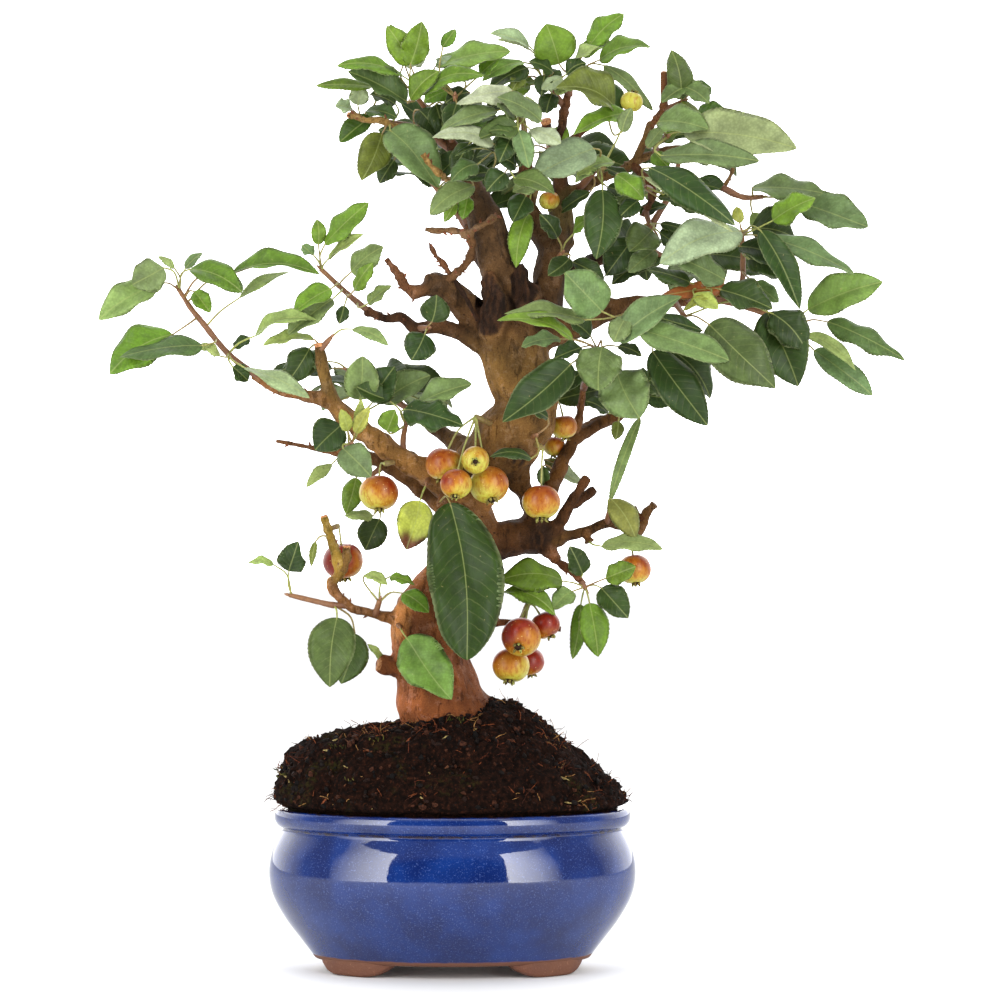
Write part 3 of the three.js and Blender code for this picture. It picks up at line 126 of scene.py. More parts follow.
# Wood: the middle line of each limb as x, y, z, radius.
LIMBS = {
    "trunk": (
        (-3, 0, 118, 22), (-3, 0, 136, 32), (-3, 0, 148, 30), (-7, -1, 161, 26.5), (-12, -2, 180, 22.5),
        (-15, -3, 198, 21.5), (-15.5, -2, 212.5, 20), (-6, 0, 227, 17.5), (4, 2, 240, 17.5),
        (13, 4, 252, 16.5), (13, 5, 264, 14), (10, 5, 277, 12.5), (11, 4, 290, 15), (18, 3, 302, 18),
        (28, 2, 312, 20), (38, 0, 324, 20.5), (44, -2, 336, 19), (41, -3, 354, 19.5), (37, -2, 371, 21),
        (37, 0, 385, 18), (36, 0, 394, 12),
    ),
    "trunk_right": (
        (36, 3, 308, 13), (38, 4, 298, 8.5), (41.5, 5, 289, 6), (46, 6, 280, 5.5), (50, 6, 271, 7),
        (52, 5, 262, 9),
    ),
    "root_left": ((-12, 0, 142, 14), (-40, -6, 128, 9), (-66, -10, 112, 4)),
    "root_right": ((6, 0, 142, 14), (34, 8, 130, 9), (60, 14, 112, 4)),
    "root_front": ((-4, -8, 140, 13), (6, -32, 126, 8), (14, -48, 108, 4)),
    "root_back": ((-4, 8, 140, 13), (-10, 32, 128, 8), (-16, 50, 108, 4)),
    "leader_left": (
        (37, 0, 380, 16), (34, -2, 395, 12.5), (28.5, -4, 413, 9.8), (25, -5, 431, 11),
        (18.5, -4, 452, 11.2), (11, 0, 467, 8), (1, 6, 491, 5), (-8, 10, 509, 2.5),
    ),
    "leader_right": (
        (42, 0, 372, 15), (52, 4, 384, 12), (57, 8, 404, 10.5), (61, 12, 432, 9), (67, 14, 442, 8),
    ),
    "arm_left": ((60, 12, 430, 8), (48, 8, 452, 6), (43, 4, 467, 5), (46, 2, 492, 3)),
    "arm_right": (
        (66, 14, 440, 8), (66, 14, 461, 7), (74, 12, 468, 4.2), (89, 8, 475, 3.2), (108, 2, 484, 2.6),
        (119, -4, 508, 1.8),
    ),
    "upright": ((66, 14, 458, 5.5), (64, 12, 485, 4.2), (67, 6, 515, 3), (70, 2, 528, 2)),
    "side_twig": ((66, 11, 493, 3), (78, 4, 503, 2.2), (87, 0, 510, 1.6)),
    "cut_stub_top": ((65, 11, 490, 4), (58, 4, 502, 4), (56, 0, 509, 3.6)),
    "top_stub": ((118, -3, 505, 2.4), (126, 0, 515, 2.6), (127, 2, 538, 2)),
    "upper_right": (
        (104, 3, 482, 2.8), (122, 2, 490, 2.2), (140, 3, 493, 1.7), (168, 3, 483, 1.4), (162, 0, 467, 1.3),
    ),
    "upper_right_low": ((108, 2, 484, 2.6), (120, 4, 467, 2.4), (115, 2, 452, 2)),
    "left_upper": (
        (26, -2, 380, 13), (9, -6, 396, 9), (-1, -12, 406, 7.5), (-9, -16, 410, 8), (-16, -20, 407, 5),
        (-23, -23, 405, 4.4), (-27.5, -24, 408, 2.9), (-31, -25, 414, 3.2), (-34, -25, 418, 2.2),
        (-39, -26, 424.5, 1.4),
    ),
    "left_upper_twig": (
        (-8, -16, 409, 3.6), (-2, -18, 412.5, 2.8), (3, -18, 417, 3), (8, -18, 421.5, 2.1),
        (10.5, -18, 426, 2.9), (12, -18, 432, 2), (11, -18, 437, 2.8), (6, -18, 442, 2.6),
    ),
    "cross_twig": (
        (-16, -20, 442.5, 1.3), (-9, -20, 441.5, 2.1), (-4, -19, 442, 1.7), (5, -18, 441, 2.4),
        (9, -18, 439.5, 3), (14, -20, 443, 1.9), (21, -21, 446.5, 1.8), (24.5, -22, 449, 2.5),
        (26.5, -22, 450.5, 0.8),
    ),
    "thin_twig": ((0, -17, 414, 2), (8, -21, 402, 1.4), (15, -25, 388, 1)),
    "crown_left_stub": (
        (-22, -3, 505, 1.7), (-34, -6, 505.5, 1.6), (-43, -8, 508.5, 2.1), (-52, -9, 508.5, 1.7),
        (-58, -9, 511, 2.5), (-62, -9, 511.5, 1.9),
    ),
    "crown_hook": (
        (5, -3, 467, 1.8), (-3, -22, 472, 1.5), (-8, -34, 475, 2), (-13, -37, 479.5, 1.5),
        (-17, -38, 485.5, 2.3),
    ),
    "short_twig": (
        (2, -16, 411, 2.1), (-2, -18, 417, 1.5), (-6, -19, 423, 2), (-9, -20, 426, 1.1),
        (-12, -21, 431, 1.6), (-13.5, -21, 433.5, 0.5),
    ),
    "left_middle": (
        (26, -4, 372, 9), (8, -10, 380, 5.5), (-8, -12, 385, 4.5), (-22, -10, 384, 4), (-31, -7, 391, 3.5),
        (-38, -5, 390, 3.2), (-52, 0, 395, 2.8),
    ),
    "left_long": (
        (20, 2, 286, 13), (1, -5, 287, 9.5), (-13, -11, 297, 8), (-31, -14, 307, 7), (-46, -16, 318, 6.5),
        (-64, -18, 332, 6), (-76, -18, 341, 4.8), (-91, -14, 344, 3.6), (-105, -10, 348, 3.2),
        (-119, -6, 356, 2.8),
    ),
    "left_lower": (
        (12, 4, 274, 9), (-4, 8, 279, 6.5), (-24, 12, 292, 5), (-43, 12, 304, 4.4), (-56, 6, 308, 3.6),
        (-64, -1, 309, 3.4), (-72, -4, 323, 3),
    ),
    "left_thin": ((-62, 0, 308, 2.4), (-85, 2, 313, 1.5), (-106, 4, 317, 1)),
    "stub_tall": ((-68, -18, 334, 4.8), (-76, -19, 356, 4), (-79, -19, 374, 3.4)),
    "low_left": (
        (-20, -3, 212, 7), (-32, -7, 210.5, 4.2), (-41, -11, 212, 3.4), (-50, -14, 214.5, 3),
        (-60, -18, 217.5, 3.1), (-67, -20, 224, 3.1), (-71.5, -20, 230, 3.7), (-71, -21, 236, 3),
    ),
    "low_stub": (
        (-72, -20, 232, 3.1), (-67, -21, 238, 3.5), (-67.5, -22, 245, 3.6), (-71, -23, 256, 2.8),
        (-76, -24, 271.5, 2.4),
    ),
    "low_stub_side": ((-68, -21, 236, 3.4), (-63.5, -22, 243, 2.8), (-62.5, -22, 253.5, 2.5)),
    "low_knob": ((-20, -4, 180, 8), (-32, -8, 181, 6.4), (-44, -10, 184, 5.2)),
    "low_right": (
        (0, 0, 202, 4), (14, 1, 204, 2.6), (29, 1, 208, 2.1), (53, 1, 205, 1.8), (65, 0, 204, 1.4),
    ),
    "junction": (
        (12, 4, 250, 14), (28, 5, 255.5, 11.5), (40, 6, 259, 11.5), (51, 5, 258.5, 9), (60, 3, 263, 5.4),
        (66, 1, 271, 3.9), (72, -1, 281, 3.7), (76, -3, 288, 3), (81, -4, 295, 2.9),
    ),
    "junction_stub": ((69, 0, 277, 3.3), (76, 2, 281, 2.8), (81, 4, 284.5, 2.7), (85.5, 5, 288, 2.7)),
    "junction_right": (
        (56, 4, 256.5, 6), (70, 4, 260, 3.7), (81, 5, 263, 3.5), (93, 7, 267.5, 3), (104, 8, 265.5, 2.7),
        (113, 8, 262.5, 2.6), (115, 8, 268, 2.4), (116.5, 7, 273.5, 2.7), (121.5, 5, 279, 2.5),
    ),
    "junction_right_fork": ((115.5, 7, 270, 2.2), (112, 7, 272.5, 1.9), (108.5, 6, 276.5, 2.5)),
    "junction_right_knob": ((80, 3, 263, 2.8), (81, 1, 259, 2.4), (82, 0, 256.5, 2.8)),
    "junction_low": ((56, 2, 253, 5), (64, 0, 244, 2.8), (71, -2, 239, 2.3), (79, -3, 231, 1.8)),
    "middle_right": (
        (44, 9, 262, 8), (56, 13, 279, 5.4), (63, 16, 297, 4.4), (73, 20, 317, 4.2), (82, 24, 324, 4),
        (98, 28, 332, 3.8), (112, 30, 341, 3.3),
    ),
    "spur_twig": ((74, 21, 319, 3), (77, 16, 335, 2.2), (79, 10, 351, 1.6)),
    "right_main": (
        (44, 0, 374, 13), (56, 0, 380, 10), (73, -2, 386, 8.4), (91, -5, 394, 6.8), (112, -7, 398, 5.2),
        (136, -8, 401, 4.2), (157, -6, 402, 3.3), (166, -5, 404, 2.9),
    ),
    "back_upper": ((38, 6, 378, 11), (32, 30, 396, 7), (20, 50, 424, 5), (8, 66, 452, 3)),
    "back_right": ((58, 10, 408, 8), (80, 34, 424, 5.4), (104, 54, 440, 4), (124, 66, 452, 2.6)),
    "back_low": ((73, 20, 317, 4.2), (84, 40, 327, 3.6), (98, 57, 334, 3)),
    "back_left": ((24, 8, 300, 11), (2, 34, 316, 6), (-26, 58, 336, 3)),
}

# Bunches of fruit: the spur they hang from, and for each fruit its middle, its radius, the way its
# calyx points, how ripe it is and how far its red side is turned: -1 to the left, 1 to the right.
BUNCHES = {
    "fruit_trunk_front": (
        ((30, -6, 324, 2.2), (14, -26, 331, 1.6)), (-4.5, -30, 302.5, 11.4, (-0.2, -0.1, -1), 0.45, -0.9),
        (14, -43.5, 305, 8.4, (0, -1, -0.15), 0.05, 0.1), (2.7, -47, 291, 9.6, (-0.1, -0.5, -1), 0.5, -0.6),
        (22, -30, 290.5, 12, (0.2, -0.5, -1), 0.3, 0.8),
    ),
    "fruit_hanging": (
        ((46, -6, 318, 2.2), (54, -22, 312, 1.5)), (53, -19, 280.3, 11.7, (0, -0.15, -1), 0.38, 0.1),
    ),
    "fruit_behind": (
        ((50, 6, 338, 2.2), (62, 20, 342, 1.5)), (67, 5, 325.5, 8.2, (0.1, 0, -1), 0.3, 0.4),
        (61.5, 23, 314, 7, (-0.1, 0, -1), 0.4, 0.6),
    ),
    "fruit_left": (
        ((-30, -15, 305, 2), (-40, -24, 303, 1.5)), (-43.5, -22, 285.7, 12, (0, -0.25, -1), 0.45, 1.1),
    ),
    "fruit_stub": (
        ((-74, -22, 264, 2), (-68, -12, 266, 1.5)), (-65.7, -1, 245, 12.4, (0.1, 0.1, -1), 0.9, -0.6),
    ),
    "fruit_right": (
        ((104, 8, 268, 2), (106, 1, 262, 1.5)), (109, -5, 240, 10.2, (0.1, -0.2, -1), 0.36, 0.5),
    ),
    "fruit_low": (
        ((40, 1, 206.5, 1.9), (45, -12, 219, 1.6)), (41, -32, 200.5, 12, (-0.2, -0.9, -0.6), 0.72, -0.5),
        (55.5, -16, 207, 9, (0.5, -0.2, -1), 0.85, 0.3), (35, -16, 183, 11.4, (-0.1, -0.3, -1), 0.35, -0.5),
        (46, 3, 184.3, 9.4, (0.2, 0.1, -1), 0.9, 0.5),
    ),
    "fruit_upright": (
        ((88, 8, 475, 2), (91, 2, 483, 1.5)), (107, -14, 519, 6.9, (0.25, -0.1, 1), -0.5, 0.2),
    ),
    "fruit_inner": (((47, 8, 455, 2), (52, 0, 474, 1.5)), (58, -2, 461, 6.4, (0.1, 0, -1), 0.1, 0.3)),
}

# Leafy shoots: how far each leans forward, its stem, and then for each leaf its foot, its tip, its
# width, the tilt of its upper face (0 up, 90 towards the front) and its kind.
SHOOTS = {
    "shoot_crown_left": (
        0, ((2, 6, 490), (-20, 8, 505), (-40, 6, 509), (-57, 5, 512)),
        (-60, 4, 516, -70.5, 0, 518, 12, 50, "silver"), (-57, 5, 519, -55.5, 2, 531, 12, 70, "silver"),
        (-52, 2, 515, -33, -6, 510, 14, 45, "mid"), (-48.9, 4, 511.9, -67.5, -4, 495.7, 13.2, 66, "deep"),
        (-48.3, 0, 529.3, -81.9, -6, 529.3, 10.2, 50, "bright"),
        (-42, -4, 501, -54, -12, 472, 20, 75, "olive"), (-35, 4, 486, -44, 6, 472, 14, 60, "dark"),
        (-37, -14, 502, -8, -32, 466, 26.4, 65, "grey"), (-20, 0, 515, -8, -4, 498, 15, 70, "dark"),
        (-34, 2, 519, -50, 6, 525, 14, 50, "dark"),
    ),
    "shoot_crown_left_top": (
        10, ((-6, 9, 506), (-14, 4, 514), (-22, 0, 523)),
        (-24.9, -6, 540.7, -38.7, -14, 562.9, 16.2, 72, "bright"),
        (-30, 6, 546, -37.5, 10, 567, 9, 60, "bright"),
        (-29, -4, 534, -68.7, -10, 539.5, 13.2, 45, "bright"),
        (-27, -10, 519, -62, -18, 536, 21.6, 52, "mid"),
        (-17.1, -14, 522.1, 19.5, -26, 531.7, 15, 52, "bright"),
        (-24.9, -16, 519.1, -7.5, -22, 535.3, 15, 58, "bright"),
        (-0.3, 4, 527.5, -17.1, 0, 519.1, 13.2, 60, "bright"),
        (-29.1, 2, 541.9, -15.9, 4, 545.5, 9.6, 55, "silver"),
        (-24.9, -7, 540.7, -17.7, -16, 565.3, 16.8, 74, "bright"),
    ),
    "shoot_crown_middle_left": (
        16, ((-1, 7, 496), (2, -6, 508), (2, -14, 521)),
        (-10, -12, 540, 35, -22, 548.5, 20.4, 45, "fresh"), (-5.7, 0, 551, 2, 4, 562.5, 8, 60, "bright"),
        (-2, -6, 537.5, 22.5, -10, 547.5, 18, 35, "dark"), (3, -16, 516, -1, -18, 499, 13, 70, "dark"),
        (12.9, -16, 467.5, -12.9, -26, 449.5, 15.6, 60, "grey"),
        (2.1, -10, 458.5, -4.5, -12, 445.9, 7.2, 70, "bright"),
        (9.3, -8, 461.5, 6.3, -10, 447.7, 9.6, 75, "bright"),
        (23.7, -12, 475.3, 3.9, -16, 470.5, 12, 60, "dark"),
        (10.5, -6, 523.9, -3.9, -10, 516.7, 12, 60, "dark"),
        (16.5, 0, 534.7, 28.5, -4, 544.3, 12, 50, "bright"),
        (-3.9, -2, 519.1, 5.7, -4, 507.1, 15.6, 60, "dark"),
        (-9.9, 6, 517.9, -2.7, 4, 496.3, 14.4, 74, "dark"),
        (17.7, -10, 516.7, 5.7, -14, 513.7, 7.2, 45, "dark"),
        (5.7, 0, 534.7, -9.9, 0, 544.3, 10.8, 50, "silver"),
    ),
    "shoot_crown_middle": (
        36, ((46, 2, 488), (43, -8, 501), (41, -12, 512)),
        (36, -16, 521, 3, -24, 512.5, 18, 45, "silver"), (38, -18, 505, 26, -24, 516, 14, 50, "grey"),
        (49, -14, 504, 43.5, -20, 518, 8, 60, "pale"),
        (24.9, -24, 489.1, -11.1, -33, 492.1, 15, 50, "silver"),
        (26.7, -18, 509.5, -6.3, -26, 496.3, 14.4, 48, "grey"),
        (46, -22, 498, 64, -30, 489, 15, 45, "silver"), (43, -16, 496, 40, -20, 476, 12, 70, "dark"),
        (35, -18, 494, 28, -24, 478, 14, 70, "dark"), (38.7, -22, 499.9, 15.9, -30, 491.5, 16.8, 60, "mid"),
        (52.5, -22, 502.9, 26.7, -28, 516.1, 16.2, 55, "grey"),
        (39.3, -24, 497.5, 45.3, -28, 474.7, 12, 78, "grey"),
        (38.1, -18, 476.5, 27.3, -24, 481.3, 12, 65, "dark"),
        (31.5, -20, 472.9, 20.7, -24, 461.5, 15, 80, "dark"),
        (36.9, -26, 469.3, 60.3, -34, 459.1, 15.6, 52, "mid"),
        (26.7, -18, 485.5, 2.1, -24, 481.9, 8.4, 35, "dark"),
        (27.3, -14, 505.9, 2.1, -18, 495.7, 15.6, 50, "mid"),
        (10.5, -6, 491.5, -0.3, -8, 474.7, 13.2, 70, "dark"),
        (15.3, -14, 478.3, -0.3, -20, 467.5, 14.4, 60, "mid"),
        (38.1, -24, 493.9, 21.9, -28, 496.3, 10.8, 50, "mid"),
        (33.3, -6, 516.7, 20.1, -8, 508.3, 10.8, 50, "dark"),
        (5.7, 10, 486.7, -9.9, 14, 472.3, 14.4, 60, "dark"),
    ),
    "shoot_crown_top_left": (
        0, ((67, 5, 518), (60, 0, 527), (54, -4, 533)),
        (46, -6, 553, 22.5, -10, 560, 12, 45, "silver"), (45, -8, 540, 22.5, -16, 526, 18, 50, "dark"),
        (42, -12, 533, 35.7, -18, 525, 10, 60, "olive"), (55, -12, 535, 53, -18, 522, 11, 70, "dark"),
        (59.7, -8, 524.5, 56.1, -12, 511.9, 11.4, 75, "dark"),
        (46.5, -4, 529.9, 30.3, -8, 522.1, 12, 55, "bright"),
        (60.3, -8, 537.1, 45.3, -12, 543.1, 12, 50, "dark"),
        (68.1, -8, 535.9, 80.1, -10, 542.5, 12, 60, "dark"),
        (64.5, 8, 491.5, 66.3, 12, 508.9, 10.8, 70, "bright"),
        (46.5, -2, 551.5, 26.1, -4, 556.9, 6, 40, "silver"),
        (42.9, -8, 543.1, 17.7, -14, 531.1, 10.8, 50, "fresh"),
        (48.9, 0, 533.5, 33.3, -4, 526.3, 10.8, 55, "bright"),
        (65.7, -12, 533.5, 53.1, -18, 525.7, 10.8, 55, "silver"),
        (62.1, -2, 521.5, 51.3, -4, 514.3, 12, 62, "dark"),
        (57.3, -2, 539.5, 64.5, -6, 528.7, 12, 60, "dark"),
    ),
    "shoot_crown_top": (
        0, ((70, 2, 524), (71, 0, 532), (75, 0, 538)),
        (64, -4, 542.5, 56, -10, 566, 27, 75, "bright"), (73, -4, 544, 88, -10, 552, 12, 40, "pale"),
        (78, 4, 548, 97.5, 10, 556.5, 14, 45, "bright"), (82, 2, 554, 103, 6, 574, 16, 55, "bright"),
        (88, -4, 545, 119, -12, 551.5, 20, 45, "bright"),
        (90.9, 2, 542.5, 120.3, 0, 514.9, 10.2, 52, "grey"), (68, -8, 530, 62, -14, 523, 13, 60, "pale"),
    ),
    "shoot_crown_right": (
        30, ((84, 1, 508), (92, -4, 511)),
        (96, -14, 513, 61, -26, 522.5, 27, 58, "olive"), (98, 14, 512, 90, 24, 532, 17, 60, "dark"),
        (103.5, -14, 508.9, 71.1, -28, 494.5, 15, 48, "bright"),
        (99.9, -24, 496.9, 105.3, -27, 510.7, 9, 70, "grey"),
    ),
    "shoot_crown_inner": (
        14, ((76, 11, 469), (84, 0, 477), (87, -8, 481)),
        (84, -22, 489, 47.7, -34, 471, 27, 55, "silver"), (86, -14, 481, 74, -18, 473, 12, 50, "pale"),
        (89, -20, 465, 85, -30, 423, 23, 82, "dark"), (92, -14, 467, 111, -20, 460, 12, 45, "dark"),
        (96.3, -10, 481.9, 72.9, -14, 469.3, 12.6, 50, "pale"),
        (92.1, 4, 479.5, 107.7, 6, 472.3, 8.4, 55, "dark"),
        (82.5, 16, 466.3, 64.5, 22, 454.3, 9.6, 60, "dark"),
    ),
    "shoot_between": (
        0, ((44, 4, 466), (48, -7, 470)),
        (57, -12, 471, 36, -20, 464.5, 15, 52, "grey"), (44, -11, 463, 36, -18, 447, 16, 78, "dark"),
        (45, -6, 453, 38, -12, 420, 14, 70, "bright"),
    ),
    "shoot_leader": (
        0, ((60, 11, 424), (66, -2, 430)),
        (70, -10, 426, 57, -18, 415, 13, 60, "dark"), (63, -10, 438, 52, -14, 452, 12, 60, "dark"),
        (72, -12, 440, 84, -22, 448, 13, 50, "bright"), (71.7, -4, 424.3, 90.9, -8, 411.1, 12, 62, "dark"),
        (68.1, 2, 415.9, 82.5, 0, 401.5, 9.6, 70, "dark"),
    ),
    "shoot_upper_right_top": (
        0, ((126, 0, 515), (133, 0, 518), (139, 0, 521)),
        (137.1, -2, 521.5, 131.1, -6, 550.9, 15.6, 74, "mid"),
        (138.9, -6, 528.7, 125.1, -12, 518.5, 12, 52, "grey"),
        (138.9, -6, 528.7, 153.3, -12, 517.9, 14.4, 56, "grey"),
        (142.5, 4, 525.7, 155.7, 6, 529.9, 15, 68, "deep"),
        (147.3, 4, 513.1, 165.9, 8, 515.5, 13.8, 62, "deep"),
        (148, -8, 511, 133, -14, 516, 12, 40, "olive"),
    ),
    "shoot_upper_right": (
        18, ((122, 2, 490), (122, -8, 494), (128, -14, 497)),
        (122, -18, 505, 151, -30, 499, 21, 60, "grey"),
        (137.1, -24, 498.1, 201.9, -42, 486.7, 30, 68, "ash"),
        (122.7, -30, 483.7, 179.7, -46, 478.9, 18, 60, "grey"),
        (126, -4, 494, 140, -6, 501, 12, 45, "bright"), (120, -14, 487, 128, -20, 477.5, 12, 60, "bright"),
        (115.5, -12, 490.3, 126.3, -16, 502.9, 8.4, 60, "grey"),
    ),
    "shoot_upper_right_low": (
        26, ((119, 4, 468), (114, -6, 467)),
        (116.1, -22, 476.5, 165.3, -42, 441.1, 20.4, 66, "dark"),
        (96.9, -14, 472.9, 113.1, -18, 457.9, 16.2, 60, "bright"),
        (109, -6, 466, 98, -2, 456, 12, 55, "grey"), (122, -2, 461, 142, 0, 454, 12, 50, "dark"),
        (110, -12, 458, 99, -16, 448, 12, 60, "dark"), (147.3, 4, 453.1, 129.3, 0, 460.3, 10.2, 60, "dark"),
        (142.5, 16, 499.9, 120.9, 12, 491.5, 8.4, 60, "dark"),
        (129.3, 30, 475.9, 142.5, 34, 463.9, 12, 66, "dark"),
        (113.7, -19, 471.1, 164.1, -38, 437.5, 7.8, 50, "silver"),
    ),
    "shoot_right_inner": (
        0, ((116, 3, 455), (118, -6, 446)),
        (119, -18, 442, 105, -30, 428.5, 21, 75, "grey"), (108, -4, 438, 92, -2, 416, 20, 70, "dark"),
        (119, -2, 434, 106, 4, 417, 16, 65, "dark"), (124, -2, 442, 140, 6, 432, 16, 60, "dark"),
        (120.9, -16, 430.3, 104.7, -24, 416.5, 13.2, 70, "grey"),
        (110.1, 4, 439.9, 117.3, 10, 413.5, 15.6, 72, "dark"),
        (124.5, -2, 447.1, 144.9, -4, 439.3, 7.2, 60, "dark"),
        (117.3, 6, 424.3, 95.7, 8, 411.1, 12, 60, "dark"),
        (112.5, 6, 453.1, 129.3, 10, 459.1, 9.6, 55, "dark"),
    ),
    "shoot_far_right": (
        16, ((160, -6, 402), (172, -6, 410), (173, -8, 424), (172, -9, 440)),
        (170, -30, 439.5, 121.5, -50, 419, 27, 60, "silver"), (171, -6, 446, 169, -4, 456, 7, 70, "young"),
        (178, -2, 443, 205, 6, 438, 26.4, 60, "dark"), (190, -12, 447, 215, -18, 460, 18, 60, "bright"),
        (187, -18, 436, 236.7, -30, 414, 16.2, 55, "grey"),
        (182, -24, 440, 204, -34, 393, 16.2, 75, "dark"), (176, -16, 424, 195, -24, 413, 18, 65, "dark"),
        (179, -14, 410, 193, -20, 398, 12, 60, "grey"), (186, -28, 392, 203, -38, 348, 31, 72, "dark"),
        (170.1, -16, 431.5, 203.7, -24, 412.9, 19.2, 60, "dark"),
    ),
    "shoot_far_right_top": (
        0, ((162, 0, 469), (174, -3, 463), (186, -5, 463)),
        (179, -10, 468, 221, -18, 464, 20, 45, "grey"), (208, -12, 459, 247, -24, 443.5, 24, 65, "grey"),
        (180, 2, 454, 184, 6, 444, 9, 60, "pale"),
    ),
    "shoot_far_right_low": (
        0, ((152, -6, 402), (168, -10, 399), (186, -12, 393), (206, -15, 385)),
        (223, -20, 387.5, 268, -32, 364, 16, 60, "mid"), (211, -22, 380, 239, -30, 358, 10, 55, "pale"),
        (216, -10, 371, 250.5, -14, 344, 16, 65, "grey"), (212, -14, 395, 256, -22, 411, 24, 68, "fresh"),
    ),
    "shoot_right_middle": (
        30, ((140, -8, 401), (147, -18, 407)),
        (160, -26, 410.5, 128.7, -38, 424, 20, 60, "grey"), (140, -20, 409, 114, -26, 416, 14, 50, "dark"),
        (142, -24, 402, 156, -30, 393, 12, 55, "young"), (158, -18, 405, 188, -26, 393, 21.6, 55, "dark"),
        (152.1, -24, 402.1, 135.3, -28, 391.9, 6, 60, "young"),
        (164.1, -14, 406.3, 122.1, -16, 400.9, 10.2, 70, "dry"),
    ),
    "shoot_right_near": (
        34, ((112, -7, 399), (106, -20, 392)),
        (96.9, -30, 374.5, 134.1, -36, 399.7, 19.2, 62, "grey"),
        (102, -30, 388, 94.5, -38, 373, 14, 70, "grey"), (88, -34, 391, 66, -46, 413, 27, 80, "grey"),
        (78, -28, 386.5, 31, -38, 389.5, 15, 45, "grey"), (109, -34, 381, 160.5, -52, 362, 23, 50, "grey"),
        (146.7, -24, 380.5, 114.3, -30, 389.5, 12, 55, "dark"),
    ),
    "shoot_right_low": (
        26, ((132, -8, 401), (137, -22, 389)),
        (150, -38, 384, 187.5, -56, 346, 33, 75, "mid"), (130, -8, 370, 153, -2, 341.5, 20, 65, "dark"),
        (118, -20, 369, 150, -28, 325, 25, 72, "dark"),
        (188.1, -26, 390.7, 207.3, -32, 369.1, 22.8, 72, "dark"),
    ),
    "shoot_fork_right": (
        30, ((79, 10, 349), (82, -2, 361), (86, -10, 371)),
        (97, -20, 357, 110, -30, 329, 31, 82, "grey"), (88, -30, 371, 85.5, -42, 345, 27, 84, "grey"),
        (71.1, -34, 375.1, 26.7, -48, 385.3, 14.4, 42, "bright"),
        (64, -18, 376, 41, -26, 371, 12, 45, "grey"), (82, -8, 378, 69, -12, 387, 13, 60, "dark"),
        (76, -22, 371, 60, -30, 364, 12, 50, "dark"), (70, -32, 361, 30, -50, 326.5, 25, 65, "dark"),
        (76, -18, 356, 61, -24, 341.5, 12, 65, "dark"), (98, -10, 372, 112, -14, 366, 9, 50, "dark"),
    ),
    "shoot_middle_right": (
        0, ((98, 28, 332), (102, 20, 338)),
        (94, 14, 334, 80, 8, 341, 12, 50, "dark"), (100, 12, 329, 98, 8, 317.5, 8, 60, "olive"),
        (113, 14, 331, 94, 4, 278.5, 7.2, 60, "grey"), (110, 28, 348, 132, 40, 354, 20, 60, "dark"),
        (55.5, 27, 305.5, 78.3, 30, 291.1, 10.8, 60, "silver"),
        (54.3, 14, 301.9, 55.5, 16, 289.3, 7.8, 70, "mid"),
    ),
    "shoot_trunk": (
        0, ((46, -8, 318), (50, -24, 320)),
        (57, -26, 330, 44, -32, 336, 9, 50, "dark"), (47, -34, 306, 22.5, -42, 307, 10, 45, "dark"),
    ),
    "shoot_far_left": (
        12, ((-114, -7, 353), (-134, -4, 369), (-149, 0, 387), (-157, 3, 397), (-164, 6, 408)),
        (-172, -2, 420, -190, -8, 409.5, 21, 75, "grey"), (-166, 4, 420, -176, 2, 427, 6, 45, "pale"),
        (-176, 6, 411, -211, 0, 389, 20, 62, "pale"), (-160, 8, 420, -150, 12, 430, 7, 50, "grey"),
        (-156, -4, 419, -124.5, -12, 404.5, 19, 50, "bright"),
        (-154, 0, 406, -144, -4, 393, 11, 65, "bright"),
        (-131.1, 0, 417.1, -78.3, -10, 415.3, 18, 40, "bright"),
        (-142, -8, 415, -124, -14, 406, 13, 50, "grey"), (-127, 4, 402.5, -97.5, 8, 418, 9, 40, "pale"),
        (-166, -8, 380, -202.5, -18, 356, 26, 65, "bright"),
        (-148, -12, 373, -196, -22, 365.5, 19, 42, "mid"), (-138, -8, 367, -152, -6, 373, 8, 45, "pale"),
        (-130, 0, 372, -121, 4, 379, 9, 50, "dark"), (-131, 0, 361, -122, 4, 352.5, 11, 55, "dark"),
        (-117, -10, 379, -79.5, -20, 387.7, 13, 45, "pale"),
        (-123, -14, 360, -83.7, -28, 341.5, 14, 35, "silver"),
    ),
    "shoot_left_middle": (
        16, ((-48, -1, 393), (-57, 3, 400), (-65, 6, 407), (-79, 10, 420)),
        (-76, 4, 434, -49.5, -2, 458.5, 17, 50, "bright"), (-80, 8, 434, -81, 10, 449.5, 9, 55, "bright"),
        (-83, 8, 428, -90, 10, 434, 8, 50, "grey"), (-74, 2, 425, -52.5, -6, 439.5, 10, 40, "pale"),
        (-60, -4, 417, -40.5, -12, 431.5, 18, 58, "grey"),
        (-58, -6, 406, -46.5, -12, 422, 12, 50, "bright"),
        (-50, -6, 398, -35.7, -10, 408.7, 10, 50, "grey"), (-72, -6, 407, -94, -14, 392, 16, 50, "bright"),
        (-71, -10, 401, -97, -20, 379.3, 18, 55, "grey"), (-64, -4, 397, -67, -6, 386, 8, 60, "dark"),
    ),
    "shoot_stub": (
        0, ((-79, -19, 370), (-72, -22, 378)),
        (-59, -24, 383, -37.5, -29, 373, 9, 50, "pale"), (-82, -20, 377, -112.5, -24, 373, 10, 40, "pale"),
        (-85, -12, 372, -98, -10, 352, 18, 70, "dark"),
    ),
    "shoot_left_pair": (
        0, ((-20, -11, 384), (-14, -20, 384)),
        (-12, -25, 387, -9, -30, 403, 18, 82, "dark"), (-16, -26, 380, -24, -30, 364, 20, 82, "dark"),
    ),
    "shoot_left_limb": (
